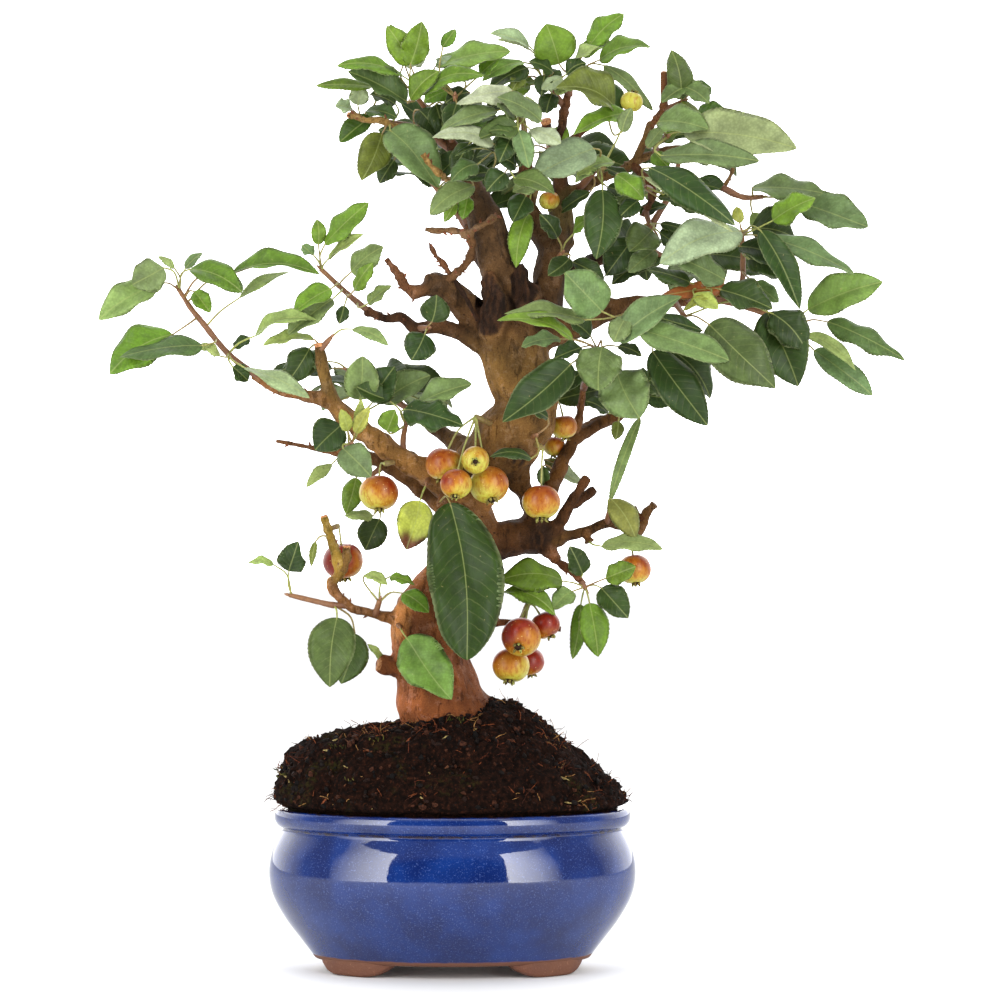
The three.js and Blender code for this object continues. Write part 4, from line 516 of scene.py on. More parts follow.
        0, ((-53, -17, 323), (-53, -14, 335)),
        (-55, -18, 341, -53, -24, 367, 21, 78, "grey"), (-47, -16, 340, -34, -20, 361, 21, 72, "dark"),
        (-42, -8, 340, -13, -10, 356, 19, 62, "grey"),
    ),
    "shoot_left_inner": (
        14, ((-29, -14, 305), (-29, -14, 318), (-27, -16, 327)),
        (-28, -24, 335, 7, -38, 325, 22, 52, "dark"), (-20, -18, 339, 12, -26, 350, 18, 45, "grey"),
        (-38, -22, 322, -33, -27, 335, 14, 65, "bright"),
        (-38.7, -8, 341.5, -56.7, -10, 348.7, 14.4, 55, "dark"),
    ),
    "shoot_left_front": (
        16, ((-64, -1, 309), (-62, -12, 313), (-59, -20, 315)),
        (-66, -8, 326, -81, -12, 311, 22, 80, "dark"), (-57, -24, 321, -48, -30, 336, 9, 60, "young"),
        (-61, -24, 322, -65, -30, 335, 8, 70, "young"), (-55, -26, 324, -53, -32, 341, 6, 60, "young"),
        (-64, -26, 312, -47, -36, 295, 19, 78, "grey"), (-71, -12, 303, -86, -18, 289, 8, 50, "pale"),
        (-80.7, -14, 256.9, -83.1, -16, 241.9, 4.2, 60, "olive"),
    ),
    "shoot_left_hang": (
        0, ((-40, 12, 303), (-50, 12, 296)),
        (-58, 6, 295, -64, 2, 273, 13, 65, "bright"), (-48, 10, 272, -65, 4, 272, 10, 45, "pale"),
        (-44, 14, 270, -53, 16, 251, 18, 80, "dark"),
    ),
    "shoot_yellow_leaf": (
        0, ((-13, -11, 297), (-15, -24, 291)),
        (-19, -27, 281, -27, -32, 252, 22, 80, "young"),
    ),
    "shoot_front_leaf": (
        0, ((-5, -8, 287), (-8, -22, 279)),
        (-1, -38, 280, 9.3, -60, 188, 45, 87, "large"),
    ),
    "shoot_trunk_low": (
        0, ((-33, -8, 208), (-31, -20, 206)),
        (-27, -28, 200, 0, -42, 164, 29, 78, "fresh"),
    ),
    "shoot_low_left": (
        0, ((-62, -17, 219), (-70, -22, 219), (-80, -20, 221), (-97, -18, 225)),
        (-68, -28, 212, -72, -36, 171, 28, 84, "mid"), (-58, -14, 202, -66, -18, 172, 21, 78, "mid"),
        (-97, -21, 239, -91, -28, 257, 17, 72, "dark"), (-106, -20, 243, -121.5, -22, 243.7, 7, 45, "pale"),
        (-41.7, -10, 185.5, -50.7, -14, 195.7, 4.8, 55, "pale"),
    ),
    "shoot_low_inner": (
        0, ((-46, -14, 213), (-43, -19, 222)),
        (-52, -22, 237, -38, -28, 231, 8, 45, "pale"), (-37, -22, 236, -22, -28, 231, 8, 45, "bright"),
        (-29.1, -26, 226.3, -13.5, -32, 214.9, 13.2, 58, "bright"),
    ),
    "shoot_junction": (
        0, ((77, -3, 233), (80, -4, 228)),
        (66, -8, 233, 28, -16, 233.5, 23, 55, "bright"), (72, -8, 227, 60, -14, 216, 13, 60, "pale"),
        (78, -6, 237, 70, -12, 254, 14, 65, "dark"),
        (91.5, -10, 234.7, 109.5, -17, 241.9, 14.4, 66, "bright"),
        (82, -10, 220, 87, -16, 188, 18, 82, "bright"), (89, -6, 229, 105, -12, 211, 18, 72, "dark"),
        (77, 0, 219, 72, -2, 186, 10, 60, "bright"),
    ),
    "shoot_low_right": (
        0, ((27, 1, 208), (24, -8, 215)),
        (31, -14, 227, 61.5, -22, 213, 14, 45, "bright"), (19, -16, 222, 4, -28, 229, 13, 50, "bright"),
    ),
    "shoot_right_stub": (
        0, ((93, 6, 268), (94, -2, 276)),
        (95, -8, 282, 109.5, -14, 258.5, 16.2, 75, "straw"),
        (89.1, -10, 253.9, 125.7, -16, 252.1, 14.4, 46, "pale"),
    ),
}

# Leafy shoots at the back: the stem, the usual length of a leaf, how far its tip hangs down
# and the side its leaves lie on, 0 for both.
BACK_SHOOTS = {
    "back_shoot_top": (((9, 64, 450), (0, 74, 474), (4, 68, 500)), 42, 0.0, 0),
    "back_shoot_left": (((14, 58, 438), (4, 74, 456), (-22, 72, 488)), 32, 0.0, 1),
    "back_shoot_middle": (((64, 14, 470), (62, 40, 482), (58, 58, 500)), 40, 0.55, 0),
    "back_shoot_right": (((122, 65, 451), (134, 66, 472), (140, 56, 496)), 34, 0.55, 0),
    "back_shoot_far_right": (((106, 55, 441), (132, 72, 432), (160, 66, 424)), 42, 0.55, 0),
    "back_shoot_low_right": (((97, 56, 334), (106, 68, 344), (120, 66, 352)), 34, 0.55, 0),
    "back_shoot_low_left": (((-24, 57, 335), (-44, 68, 348), (-66, 62, 362)), 40, 0.55, 0),
}

# Knobs of dead wood beside the torn hollows, as x, y, z, radius.
DEAD_KNOBS = (
    ((27, -13, 372, 8), (25, -16, 386, 9), (24, -17, 399, 8), (23, -14, 410, 5), (24, -11, 416, 3)),
    ((45, -8, 390, 8), (44, -11, 406, 7), (42, -11, 418, 4.5), (41, -9, 429, 1.4)),
)
# Limbs that end in a sawn face, and limbs that carry buds.
CUT_LIMBS = (
    "stub_tall", "low_stub", "low_stub_side", "low_knob", "middle_right", "top_stub", "left_lower",
    "cut_stub_top", "crown_left_stub",
)
BUDDED_LIMBS = (
    "left_upper", "left_upper_twig", "cross_twig", "short_twig", "thin_twig", "left_middle", "left_long",
    "left_lower", "low_left", "low_stub", "low_right", "upper_right", "arm_right", "side_twig", "spur_twig",
    "right_main", "upper_right_low", "junction_low", "left_thin", "crown_left_stub", "crown_hook",
)

LIMB_SPAN_STEPS = 8
LIMB_SIDES = 20
THIN_LIMB = 2.9
THIN_SIDES = 8
BARK_VOXEL = 1.35
BARK_SMOOTHINGS = 3
WOOD_NEIGHBOURS = 18
CUT_FACE = ((-1.5, 0.9), (0.5, 0.94), (0.9, 0.7))
BUD_STEP = 5
BUDDED_BELOW = 5.5
BARK_WAVES = ((17.0, 1.6), (7.0, 0.8), (2.8, 0.35))
TWIG_SEED = 5
TWIG_LUMPS = 0.45
BUD_SIZES = (0.8, 1.5)

# Fruit: its faces from the stalk to the calyx and around it, and its sepals.
FRUIT_ALONG = 20
FRUIT_AROUND = 28
FRUIT_RIBS = 0.018
FRUIT_SQUATNESS = 0.9
DIMPLE, DIMPLE_REACH = 0.17, 0.28
BASIN, BASIN_REACH = 0.12, 0.3
SEPALS = 5
SPUR_SWELLING = 0.12
FRUIT_STALK_RADII = (0.8, 0.55, 0.7)

# Leaves: stalks, blades, and how a leaf's place is found again in the frame.
LEAF_STALK_RADIUS = 0.55
STALK_SUNK = 1.5
STALK_BEND = 0.3
LONG_STALK = 9
STEM_RADIUS = 2.2
STEM_THINNING = 0.8
STEM_SWELLING = 0.2
NEARER = 0.6
BLADE_THICKNESS = 0.5
BLADE_ACROSS = 8
BLADE_STEP = 1.0
BLADE_ROWS = (14, 60)
MOST_TEETH = 64
EDGE = 0.99
VEIN_SPACING = 4.6
VEINS_PER_UV = 16
WIDTH_PER_UV = 64
PUCKER = 0.22
BLADE_ENDS = {"large": (0.55, 0.55), "grey": (0.5, 0.64), "silver": (0.52, 0.7), "deep": (0.5, 0.56)}
BLADE_ARCH = {
    "dry": 0.06, "silver": 0.08, "dark": 0.1, "deep": 0.06, "mid": 0.09, "grey": 0.08, "fresh": 0.1,
    "bright": 0.1, "pale": 0.12, "young": 0.06, "olive": 0.12, "large": 0.05, "straw": 0.1, "ash": 0.07,
}
# How blades differ from one another: the least and the most of each trait.
FOLDS = (6, 34)
CURLS = (0, 0.3)
TWISTS = (-0.7, 0.7)
EDGE_WAVES = (0.08, 0.28)
WAVES_ALONG = (1.2, 2.4)
SWAYS = (-0.05, 0.05)
TEETH = (0.12, 0.42)
ARCHES = (0.5, 2.0)
LEAF_LIGHT = (0.82, 1.2)
LEAF_CENTRE = 0.82
DEPTH_STEP = 3
DEPTH_TRIES = 20
FOOT_FOLLOWS = 0.6
FOUND = 0.0004

# Stage: the camera's film and reach, and the floor.
FILM_WIDTH = 36
CAMERA_REACH = 30
FLOOR_REACH = 9
FLOOR_CELLS = 8

# Light: radiance of the surround, from around the camera (0) past the sides to behind the tree (1).
WORLD_STOPS = ((0.0, 0.1), (0.09, 0.1), (0.14, 0.45), (0.5, 0.45), (0.8, 3.0))
# Upright soft boxes: the side they stand on, their angle from the camera's and their width.
SOFTBOXES = ((-1, 48, 1.0), (1, 41, 0.85))
SOFTBOX_DISTANCE = 1.6
SOFTBOX_MIDDLE = 0.78
SOFTBOX_HEIGHT = 1.54
SOFTBOX_POWER = 20
SOFTBOX_FADE = (2.35, 0.05)
TOP_BOX_PLACE = (0, -0.5, 2.2)
TOP_BOX_AIM = (0, 0, 0.3)
TOP_BOX_SIZE = (1.5, 1.2)
TOP_BOX_POWER = 10

# Leaves of the back shoots: how they stand around their stem, and their size as a share of the usual.
GOLDEN_ANGLE = 2.39996
SHOOT_SEEDS, BACK_SEEDS = 100, 200
BACK_LEAVES = 5
BACK_EXTRA_LEAVES = 5
BACK_LEAVES_FROM = 0.35
BACK_EXTRA_LOWER = 0.1
BACK_STALK = 14
BACK_WIDTH_RATIO = 0.56
BACK_SIZES = (0.72, 0.4)


def linear(red, green, blue):
    """A colour given in screen values, 0 to 255, as the linear one that a shader takes."""
    shares = (value / 255 for value in (red, green, blue))
    return tuple(s / 12.92 if s <= 0.04045 else ((s + 0.055) / 1.055) ** 2.4 for s in shares)


# Leaf colours by kind. Two of them, at (110, 132, 78) and (166, 182, 138), are lit copies of the green with a
# painted pale sheen on the upper face; the others are the leaves' own colours.
LEAF_TONES = {
    "dark": linear(46, 68, 24),
    "deep": linear(60, 92, 26),
    "mid": linear(82, 104, 52),
    # Painted sheen: the green as lit, with a pale sheen painted on.
    "grey": linear(110, 132, 78),
    "fresh": linear(112, 142, 62),
    # Painted sheen: a stronger pale sheen painted on the green.
    "silver": linear(166, 182, 138),
    "bright": linear(104, 138, 38),
    "pale": linear(150, 172, 98),
    "young": linear(176, 186, 84),
    "olive": linear(98, 108, 36),
    "large": linear(38, 62, 6),
    "straw": linear(138, 144, 66),
    "ash": linear(136, 154, 106),
    "dry": linear(150, 84, 36),
}
LEAF_UNDERSIDE = linear(136, 152, 104)
STALK_TONES = (linear(148, 156, 72), linear(132, 92, 54))
STEM_TONES = (linear(96, 58, 34), linear(134, 92, 54))
FRUIT_TONES = (linear(176, 172, 66), linear(170, 114, 32), linear(122, 30, 8))
FRUIT_STALK_TONE = linear(166, 172, 92)
SEPAL_TONE = linear(120, 92, 52)
PIT_TONE = linear(52, 34, 22)

# The trunk's colour at each height.
BARK_TONES = {
    150: linear(118, 66, 34), 215: linear(120, 70, 36), 262: linear(112, 74, 42), 300: linear(122, 86, 44),
    340: linear(122, 88, 44), 362: linear(130, 96, 48), 385: linear(92, 64, 36), 440: linear(84, 60, 36),
    480: linear(80, 56, 34),
}
# How much lighter or darker than the trunk each limb's bark is, in red, green and blue. For the limbs in the
# dark crotch at the junction (junction, junction_stub, junction_right, junction_right_fork, trunk_right), for
# middle_right and for the limbs at the back, the darkening is painted shade; the others are the bark's own
# tone.
LIMB_TONE_AND_SHADE = {
    "left_long": (1.3, 1.3, 1.3), "junction": (0.5, 0.47, 0.4), "trunk_right": (0.45, 0.42, 0.35),
    "junction_stub": (0.4, 0.38, 0.35),
    "junction_right": (0.7, 0.8, 0.6), "junction_right_fork": (0.5, 0.45, 0.4),
    "junction_right_knob": (1.0, 1.1, 0.8), "middle_right": (0.6, 0.56, 0.45),
    "right_main": (1.0, 0.95, 0.85), "stub_tall": (1.0, 1.2, 1.0), "low_left": (1.3, 1.55, 1.4),
    "low_stub": (1.85, 2.95, 1.3), "low_stub_side": (1.1, 1.5, 1.0), "top_stub": (1.6, 1.6, 1.6),
    "cross_twig": (1.3, 1.75, 1.9), "left_upper_twig": (1.1, 1.3, 1.3), "left_middle": (0.8, 0.8, 0.8),
    "crown_left_stub": (1.9, 2.9, 2.2), "crown_hook": (2.6, 3.8, 3.0),
    "leader_left": (0.95, 0.95, 0.9), "back_upper": (0.6, 0.6, 0.6), "back_right": (0.6, 0.6, 0.6),
    "back_low": (0.7, 0.7, 0.7), "back_left": (0.7, 0.7, 0.7), "cut_stub_top": (1.3, 1.3, 1.3),
    "left_upper": (1.1, 1.1, 1.1), "arm_right": (1.4, 1.9, 1.6), "upper_right": (1.4, 1.9, 1.7),
}
PLAIN_LIGHT = (1.0, 1.0, 1.0)

# Painted light: the left flank of the lower trunk, which faces the light, is painted paler, up to this
# height.
PAINTED_LIT_FLANK = 1.2
PAINTED_LIT_FLANK_TOP = 250
TWIG_TONE = linear(104, 64, 38)
# The dark of the scars, the torn hollows and the painted crotch shade.
SCAR_AND_SHADE_TONE = linear(30, 17, 10)
HOLLOW_RIDGE_TONE = linear(84, 54, 32)

# Dark patches on the bark, with the middle and the size of each: partly scars, and partly painted shade in
# the crotches where limbs meet, as at the junction.
SCARS_AND_CROTCH_SHADE = (
    (54, -6, 392, 9), (52, 2, 258, 11), (38, -16, 400, 7),
    (-8, -14, 410, 8), (16, -6, 292, 9), (-20, -6, 196, 9), (-26, -6, 182, 8), (40, -16, 306, 8),
)

# Torn hollows where old leaders broke off: the middle of each, half its width and half its height.
HOLLOWS = ((22, -22, 397, 9.5, 17.5), (43, -14, 413, 9, 15))
HOLLOW_TAPER = 0.45
HOLLOW_DEPTH = 14
HOLLOW_END = 3
HOLLOW_RAGGED = 0.12


# ---------------------------------------------------------------- mesh helpers


def metres(lengths):
    return [length * MM for length in lengths]


def held(value, low=0, high=1):
    """The value, kept between two limits."""
    return min(max(value, low), high)


def mix(first, second, share):
    return tuple(a + (b - a) * share for a, b in zip(first, second))


def smooth_line(points, steps):
    """The points of a centripetal curve through the given ones, whose further values go along."""
    points = np.array(points, float)
    if len(points) == 2:
        shares = np.linspace(0, 1, steps + 1)[:, None]
        return points[0] * (1 - shares) + points[1] * shares
    ends = np.vstack([2 * points[0] - points[1], points, 2 * points[-1] - points[-2]])
    lengths = np.linalg.norm(np.diff(ends[:, :3], axis=0), axis=1).clip(1e-6) ** 0.5
    knots = np.concatenate([[0], np.cumsum(lengths)])
    line = []
    for i in range(1, len(ends) - 2):
        p0, p1, p2, p3 = ends[i - 1 : i + 3]
        t0, t1, t2, t3 = knots[i - 1 : i + 3]
        for t in np.linspace(t1, t2, steps, endpoint=False):
            a1 = ((t1 - t) * p0 + (t - t0) * p1) / (t1 - t0)
            a2 = ((t2 - t) * p1 + (t - t1) * p2) / (t2 - t1)
            a3 = ((t3 - t) * p2 + (t - t2) * p3) / (t3 - t2)
            b1 = ((t2 - t) * a1 + (t - t0) * a2) / (t2 - t0)
            b2 = ((t3 - t) * a2 + (t - t1) * a3) / (t3 - t1)
            line.append(((t2 - t) * b1 + (t - t1) * b2) / (t2 - t1))
    line.append(points[-1])
    return np.array(line)


def unit(vectors):
    return vectors / np.linalg.norm(vectors, axis=-1, keepdims=True).clip(1e-9)


def frames_along(line):
    """The direction of a line at each point, and two across it that turn as little as they can."""
    tangents = unit(np.gradient(line[:, :3], axis=0))
    side = np.cross(tangents[0], (0.0, 0.0, 1.0) if abs(tangents[0][2]) < 0.9 else (1.0, 0.0, 0.0))
    sides = []
    for tangent in tangents:
        side = unit(side - tangent * side.dot(tangent))
        sides.append(side)
    sides = np.array(sides)
    return tangents, sides, np.cross(tangents, sides)


def layers(bm):
    tint = bm.verts.layers.float_color.get("tint") or bm.verts.layers.float_color.new("tint")
    return tint, bm.loops.layers.uv.verify()


def wrapped(bm, along, around, place, tint=(1, 1, 1), material=0, uv=None):
    """Bends a grid until its two long sides meet. place(u, v) gives the points for shares along and
    around it, and tint is one colour or one for each of them."""
    tint_layer, uv_layer = layers(bm)
    made = bmesh.ops.create_grid(bm, x_segments=along, y_segments=around, size=1)["verts"]
    u, v = (np.array([vert.co[:2] for vert in made]) / 2 + 0.5).T
    points = place(u, v)
    tints = np.array(tint(u, v) if callable(tint) else [tint] * len(made))
    marks = np.column_stack(uv(u, v) if uv else (u, v))
    for vert, point, colour, mark in zip(made, points, tints, marks):
        vert.co = point
        vert[tint_layer] = (*colour, 1)[:4]
        for loop in vert.link_loops:
            loop[uv_layer].uv = mark
    faces = {face for vert in made for face in vert.link_faces}
    for face in faces:
        face.material_index = material
        face.smooth = True
    bmesh.ops.remove_doubles(bm, verts=made, dist=SAME_POINT)
    return [face for face in faces if face.is_valid]


def tube(bm, line, sides, tint=(1, 1, 1), material=0):
    """A closed round bar along the points x, y, z, radius. tint is one colour, or one at each end."""
    line = np.array(line, float)
    _, across, over = frames_along(line)
    last = len(line) + 1
    colours = np.array(tint if np.ndim(tint) == 2 else [tint, tint])

    def place(u, v):
        ring = np.rint(u * last).astype(int)
        at = np.clip(ring - 1, 0, len(line) - 1)
        radius = np.where((ring == 0) | (ring == last), 0, line[at, 3])[:, None]
        angle = 2 * np.pi * v[:, None]
        return line[at, :3] + radius * (np.cos(angle) * across[at] + np.sin(angle) * over[at])

    def colour(u, v):
        return colours[0] * (1 - u[:, None]) + colours[-1] * u[:, None]

    return wrapped(bm, last, sides, place, colour, material)


def to_object(bm, name, materials):
    """Puts a shape into the frame as an object of its own."""
    bm.transform(TO_FRAME)
    bmesh.ops.recalc_face_normals(bm, faces=bm.faces)
    mesh = bpy.data.meshes.new(name)
    bm.to_mesh(mesh)
    bm.free()
    piece = bpy.data.objects.new(name, mesh)
    bpy.context.scene.collection.objects.link(piece)
    for material in materials:
        mesh.materials.append(material)
    return piece


def settle(piece, slot, *nodes):
    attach(piece, "root")
    if nodes:
        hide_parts(*nodes)


def with_modifier(bm, kind, cutters=(), **values):
    """The shape after one modifier, as a new bmesh; cutters are shapes that a Boolean takes away."""
    mesh = bpy.data.meshes.new("work")
    bm.to_mesh(mesh)
    bm.free()
    work = bpy.data.objects.new("work", mesh)
    bpy.context.scene.collection.objects.link(work)
    helpers = [work]
    for cutter in cutters or (None,):
        modifier = work.modifiers.new(kind.lower(), kind)
        for key, value in values.items():
            setattr(modifier, key, value)
        if cutter:
            cutter_mesh = bpy.data.meshes.new("cutter")
            cutter.to_mesh(cutter_mesh)
            cutter.free()
            modifier.object = bpy.data.objects.new("cutter", cutter_mesh)
            bpy.context.scene.collection.objects.link(modifier.object)
            helpers.append(modifier.object)
    depsgraph = bpy.context.evaluated_depsgraph_get()
    result = bmesh.new()
    result.from_object(work, depsgraph)
    for helper in helpers:
        bpy.data.objects.remove(helper)
    return result


def rough(point, size, seed=0.0):
    """Smooth noise from -1 to 1 whose lumps are about size across."""
    return noise.noise(Vector((point[0] / size + seed, point[1] / size - seed, point[2] / size)))


# ---------------------------------------------------------------- materials


class Shader:
    """A material's node tree, with short ways to add and join its nodes."""

    def __init__(self, name):
        self.material = bpy.data.materials.new(name)
        self.material.use_nodes = True
        self.tree = self.material.node_tree
        self.surface = self.tree.nodes["Principled BSDF"]
        self.output = self.tree.nodes["Material Output"]

    def add(self, kind, inputs=None, **values):
        node = self.tree.nodes.new(kind)
        for key, value in values.items():
            setattr(node, key, value)
        for key, value in (inputs or {}).items():
            self.join(value, node.inputs[key])
        return node

    def join(self, value, socket):
        if isinstance(value, bpy.types.NodeSocket):
            self.tree.links.new(value, socket)
        else:
            socket.default_value = value

    def set(self, **values):
        for key, value in values.items():
            self.join(value, self.surface.inputs[key.replace("_", " ")])

    def place(self):
        return self.add("ShaderNodeTexCoord").outputs["Object"]

    def noise(self, size, detail=3.0, roughness=0.5, place=None, stretch=None):
        place = place or self.place()
        if stretch:
            place = self.add("ShaderNodeMapping", {"Vector": place, "Scale": stretch}).outputs["Vector"]
        return self.add(
            "ShaderNodeTexNoise",
            {"Vector": place, "Scale": 1 / (size * MM), "Detail": detail, "Roughness": roughness},
        ).outputs["Fac"]

    def cells(self, size, randomness=1.0):
        return self.add(
            "ShaderNodeTexVoronoi",
            {"Vector": self.place(), "Scale": 1 / (size * MM), "Randomness": randomness},
        ).outputs["Distance"]

    def ramp(self, value, low, high, out_low=0.0, out_high=1.0):
        return self.add(
            "ShaderNodeMapRange",
            {"Value": value, "From Min": low, "From Max": high, "To Min": out_low, "To Max": out_high},
            interpolation_type="SMOOTHSTEP",
        ).outputs["Result"]

    def maths(self, operation, first, second=0.0):
        return self.add("ShaderNodeMath", {0: first, 1: second}, operation=operation).outputs["Value"]

    def times(self, first, second):
        return self.maths("MULTIPLY", first, second)

    def plus(self, first, second):
        return self.maths("ADD", first, second)

    def strewn(self, colour, tone, value, low, high, cover=1.0):
        """The colour with a tone laid over it where a value is high, which covers it up to a share."""
        return self.blend(self.ramp(value, low, high, 0.0, cover), colour, tone)

    def blend(self, share, first, second, blend_type="MIX"):
        node = self.add("ShaderNodeMix", data_type="RGBA", blend_type=blend_type)
        self.join(share, node.inputs[0])
        for value, socket in ((first, node.inputs[6]), (second, node.inputs[7])):
            self.join((*value, 1) if isinstance(value, tuple) and len(value) == 3 else value, socket)
        return node.outputs[2]

    def toned(self, colour, value, saturation=1.0):
        return self.add(
            "ShaderNodeHueSaturation", {"Color": colour, "Value": value, "Saturation": saturation}
        ).outputs["Color"]

    def tint(self):
        return self.add("ShaderNodeAttribute", attribute_name="tint").outputs["Color"]

    def bump(self, height, depth, strength=1.0):
        return self.add(
            "ShaderNodeBump", {"Height": height, "Distance": depth * MM, "Strength": strength}
        ).outputs["Normal"]

    def height(self):
        return self.add("ShaderNodeSeparateXYZ", {"Vector": self.place()}).outputs["Z"]


def glaze_material(settings):
    """Cobalt glaze, thin and brown where it breaks over the lip, that stops above the bare clay."""
    shader = Shader("cobalt_glaze")
    deep, light, speck, clay = (
        tuple(colour) for colour in (
            settings.glaze_colour, settings.glaze_light, settings.glaze_speck, settings.clay_colour))
    colour = shader.strewn(deep, light, shader.noise(22, 4), 0.3, 0.75, 0.6)
    colour = shader.strewn(colour, speck, shader.noise(0.8, 2), 0.56, 0.74, 0.34)
    level = shader.plus(shader.height(), shader.times(shader.noise(9, 3), 1.6 * MM))
    lip = shader.ramp(level, *metres(LIP_FROM))
    groove_low = shader.ramp(level, *metres(GROOVE_FROM))
    groove = shader.times(groove_low, shader.ramp(level, *metres(GROOVE_TO), 1.0, 0.0))
    worn = shader.times(shader.ramp(shader.noise(6, 4), 0.38, 0.6), 0.9)
    breaks = shader.times(shader.maths("MAXIMUM", lip, groove), worn)
    colour = shader.blend(breaks, colour, linear(44, 30, 28))
    colour = shader.blend(shader.ramp(level, *metres(GLAZE_END), 1.0, 0.0), colour, clay)
    fine = shader.plus(shader.noise(14, 2), shader.times(shader.noise(2.5, 2), 0.12))
    shader.set(
        Base_Color=colour,
        Roughness=shader.ramp(level, *metres(GLAZE_END), 0.65, 0.045),
        IOR=1.56,
        Normal=shader.bump(fine, 0.22, 0.5),
    )
    return shader.material


def clay_material(settings):
    shader = Shader("bare_clay")
    grains = shader.noise(1.4, 4)
    clay = tuple(settings.clay_colour)
    colour = shader.strewn(clay, linear(96, 56, 38), shader.noise(12, 3), 0.35, 0.7)
    colour = shader.strewn(colour, linear(170, 122, 92), grains, 0.6, 0.75, 0.5)
    shader.set(Base_Color=colour, Roughness=0.7, Normal=shader.bump(grains, 0.4))
    return shader.material


def bark_material():
    """Smooth bark with paler flakes, fine cracks along the wood and small dark lenticels."""
    shader = Shader("crabapple_bark")
    colour = shader.toned(shader.tint(), shader.ramp(shader.noise(18, 4, 0.6), 0.3, 0.7, 0.7, 1.15))
    flaked = shader.toned(colour, 1.5, 0.85)
    colour = shader.strewn(colour, flaked, shader.noise(7, 7, 0.72), 0.52, 0.6, 0.6)
    colour = shader.toned(colour, shader.ramp(shader.noise(0.9, 4, 0.7), 0.3, 0.7, 0.78, 1.16))
    streaks = shader.noise(3.4, 6, 0.68, stretch=(1.0, 1.0, 0.3))
    colour = shader.strewn(colour, shader.toned(colour, 0.3, 1.1), streaks, 0.53, 0.62, 0.72)
    dots = shader.ramp(shader.cells(6.5), 0.07, 0.13, 0.8, 0.0)
    colour = shader.blend(dots, colour, shader.toned(colour, 0.3))
    relief = shader.plus(shader.times(streaks, -0.9), shader.noise(1.2, 5, 0.65))
    relief = shader.maths("SUBTRACT", relief, shader.times(dots, 0.4))
    shader.set(
        Base_Color=colour, Roughness=0.66, Specular_IOR_Level=0.14, Normal=shader.bump(relief, 1.4))
    return shader.material


def leaf_material():
    """Leaf tissue: its own tint, paler midrib and side veins, blotches, a painted pale sheen along the
    blade's edge and a soft waxy gloss.
    """
    shader = Shader("leaf_blade")
    marks = shader.add("ShaderNodeSeparateXYZ", {"Vector": shader.add("ShaderNodeUVMap").outputs["UV"]})
    stray = shader.times(shader.noise(9, 2), 0.5)
    phase = shader.plus(shader.times(marks.outputs["X"], float(VEINS_PER_UV)), stray)
    across = shader.maths("ABSOLUTE", shader.maths("SUBTRACT", marks.outputs["Y"], 0.5))
    from_vein = shader.maths("ABSOLUTE", shader.maths("SUBTRACT", shader.maths("FRACT", phase), 0.5))
    broken = shader.ramp(shader.noise(6, 2), 0.35, 0.65, 0.12, 0.42)
    veins = shader.times(shader.ramp(from_vein, 0.0, 0.08, 1.0, 0.0), broken)
    midrib = shader.ramp(across, 0.0015, 0.008, 0.42, 0.0)
    tissue = shader.toned(shader.tint(), shader.ramp(shader.noise(8, 5, 0.6), 0.3, 0.7, 0.72, 1.2))
    colour = shader.blend(veins, tissue, shader.blend(0.35, tissue, linear(170, 176, 110)))
    colour = shader.strewn(colour, linear(34, 48, 14), shader.cells(1.5), 0.2, 0.75, 0.22)
    colour = shader.blend(midrib, colour, linear(158, 168, 98))
    colour = shader.strewn(colour, linear(160, 146, 92), shader.noise(2.0, 1), 0.76, 0.8, 0.5)
    # Painted highlight: a pale sheen painted along the blade's edge, where the tint's alpha, the share out
    # from the midrib, is near 1.
    edge = shader.add("ShaderNodeAttribute", attribute_name="tint").outputs["Alpha"]
    colour = shader.strewn(colour, linear(176, 186, 130), edge, 0.88, 1.0, 0.42)
    ribbed = shader.times(shader.ramp(from_vein, 0.0, 0.35), 0.5)
    normal = shader.bump(shader.plus(ribbed, shader.times(shader.noise(1.6, 3), 0.9)), 0.3, 0.6)
    shader.set(Base_Color=colour, Roughness=0.46, Specular_IOR_Level=0.26, Normal=normal)
    lit = shader.blend(0.5, colour, linear(190, 206, 70))
    glow = shader.add("ShaderNodeBsdfTranslucent", {"Color": lit, "Normal": normal})
    shares = {0: 0.16, 1: shader.surface.outputs["BSDF"], 2: glow.outputs["BSDF"]}
    both = shader.add("ShaderNodeMixShader", shares)
    shader.join(both.outputs["Shader"], shader.output.inputs["Surface"])
    return shader.material


def grained_material(name, size, detail, first, second, low, high, cover=1.0, depth=0.4, **values):
    """A dull material whose grain changes it from one tone (its own tint, if None) to another."""
    shader = Shader(name)
    grain = shader.noise(size, detail)
    colour = shader.strewn(first or shader.tint(), second, grain, low, high, cover)
    shader.set(Base_Color=colour, Normal=shader.bump(grain, depth), **values)
    return shader.material


def cut_material():
    pale, brown = linear(196, 140, 90), linear(150, 90, 54)
    return grained_material("cut_wood", 1.2, 3, pale, brown, 0.35, 0.65, Roughness=0.8)


def shoot_material():
    brown = linear(92, 56, 38)
    return grained_material("green_shoot", 1.6, 3, None, brown, 0.4, 0.7, 0.5, 0.3, Roughness=0.55)


def screen_material():
    dark, worn = linear(34, 38, 36), linear(54, 58, 54)
    return grained_material("screen_plastic", 1.5, 2, dark, worn, 0.4, 0.6, depth=0.2, Roughness=0.6)


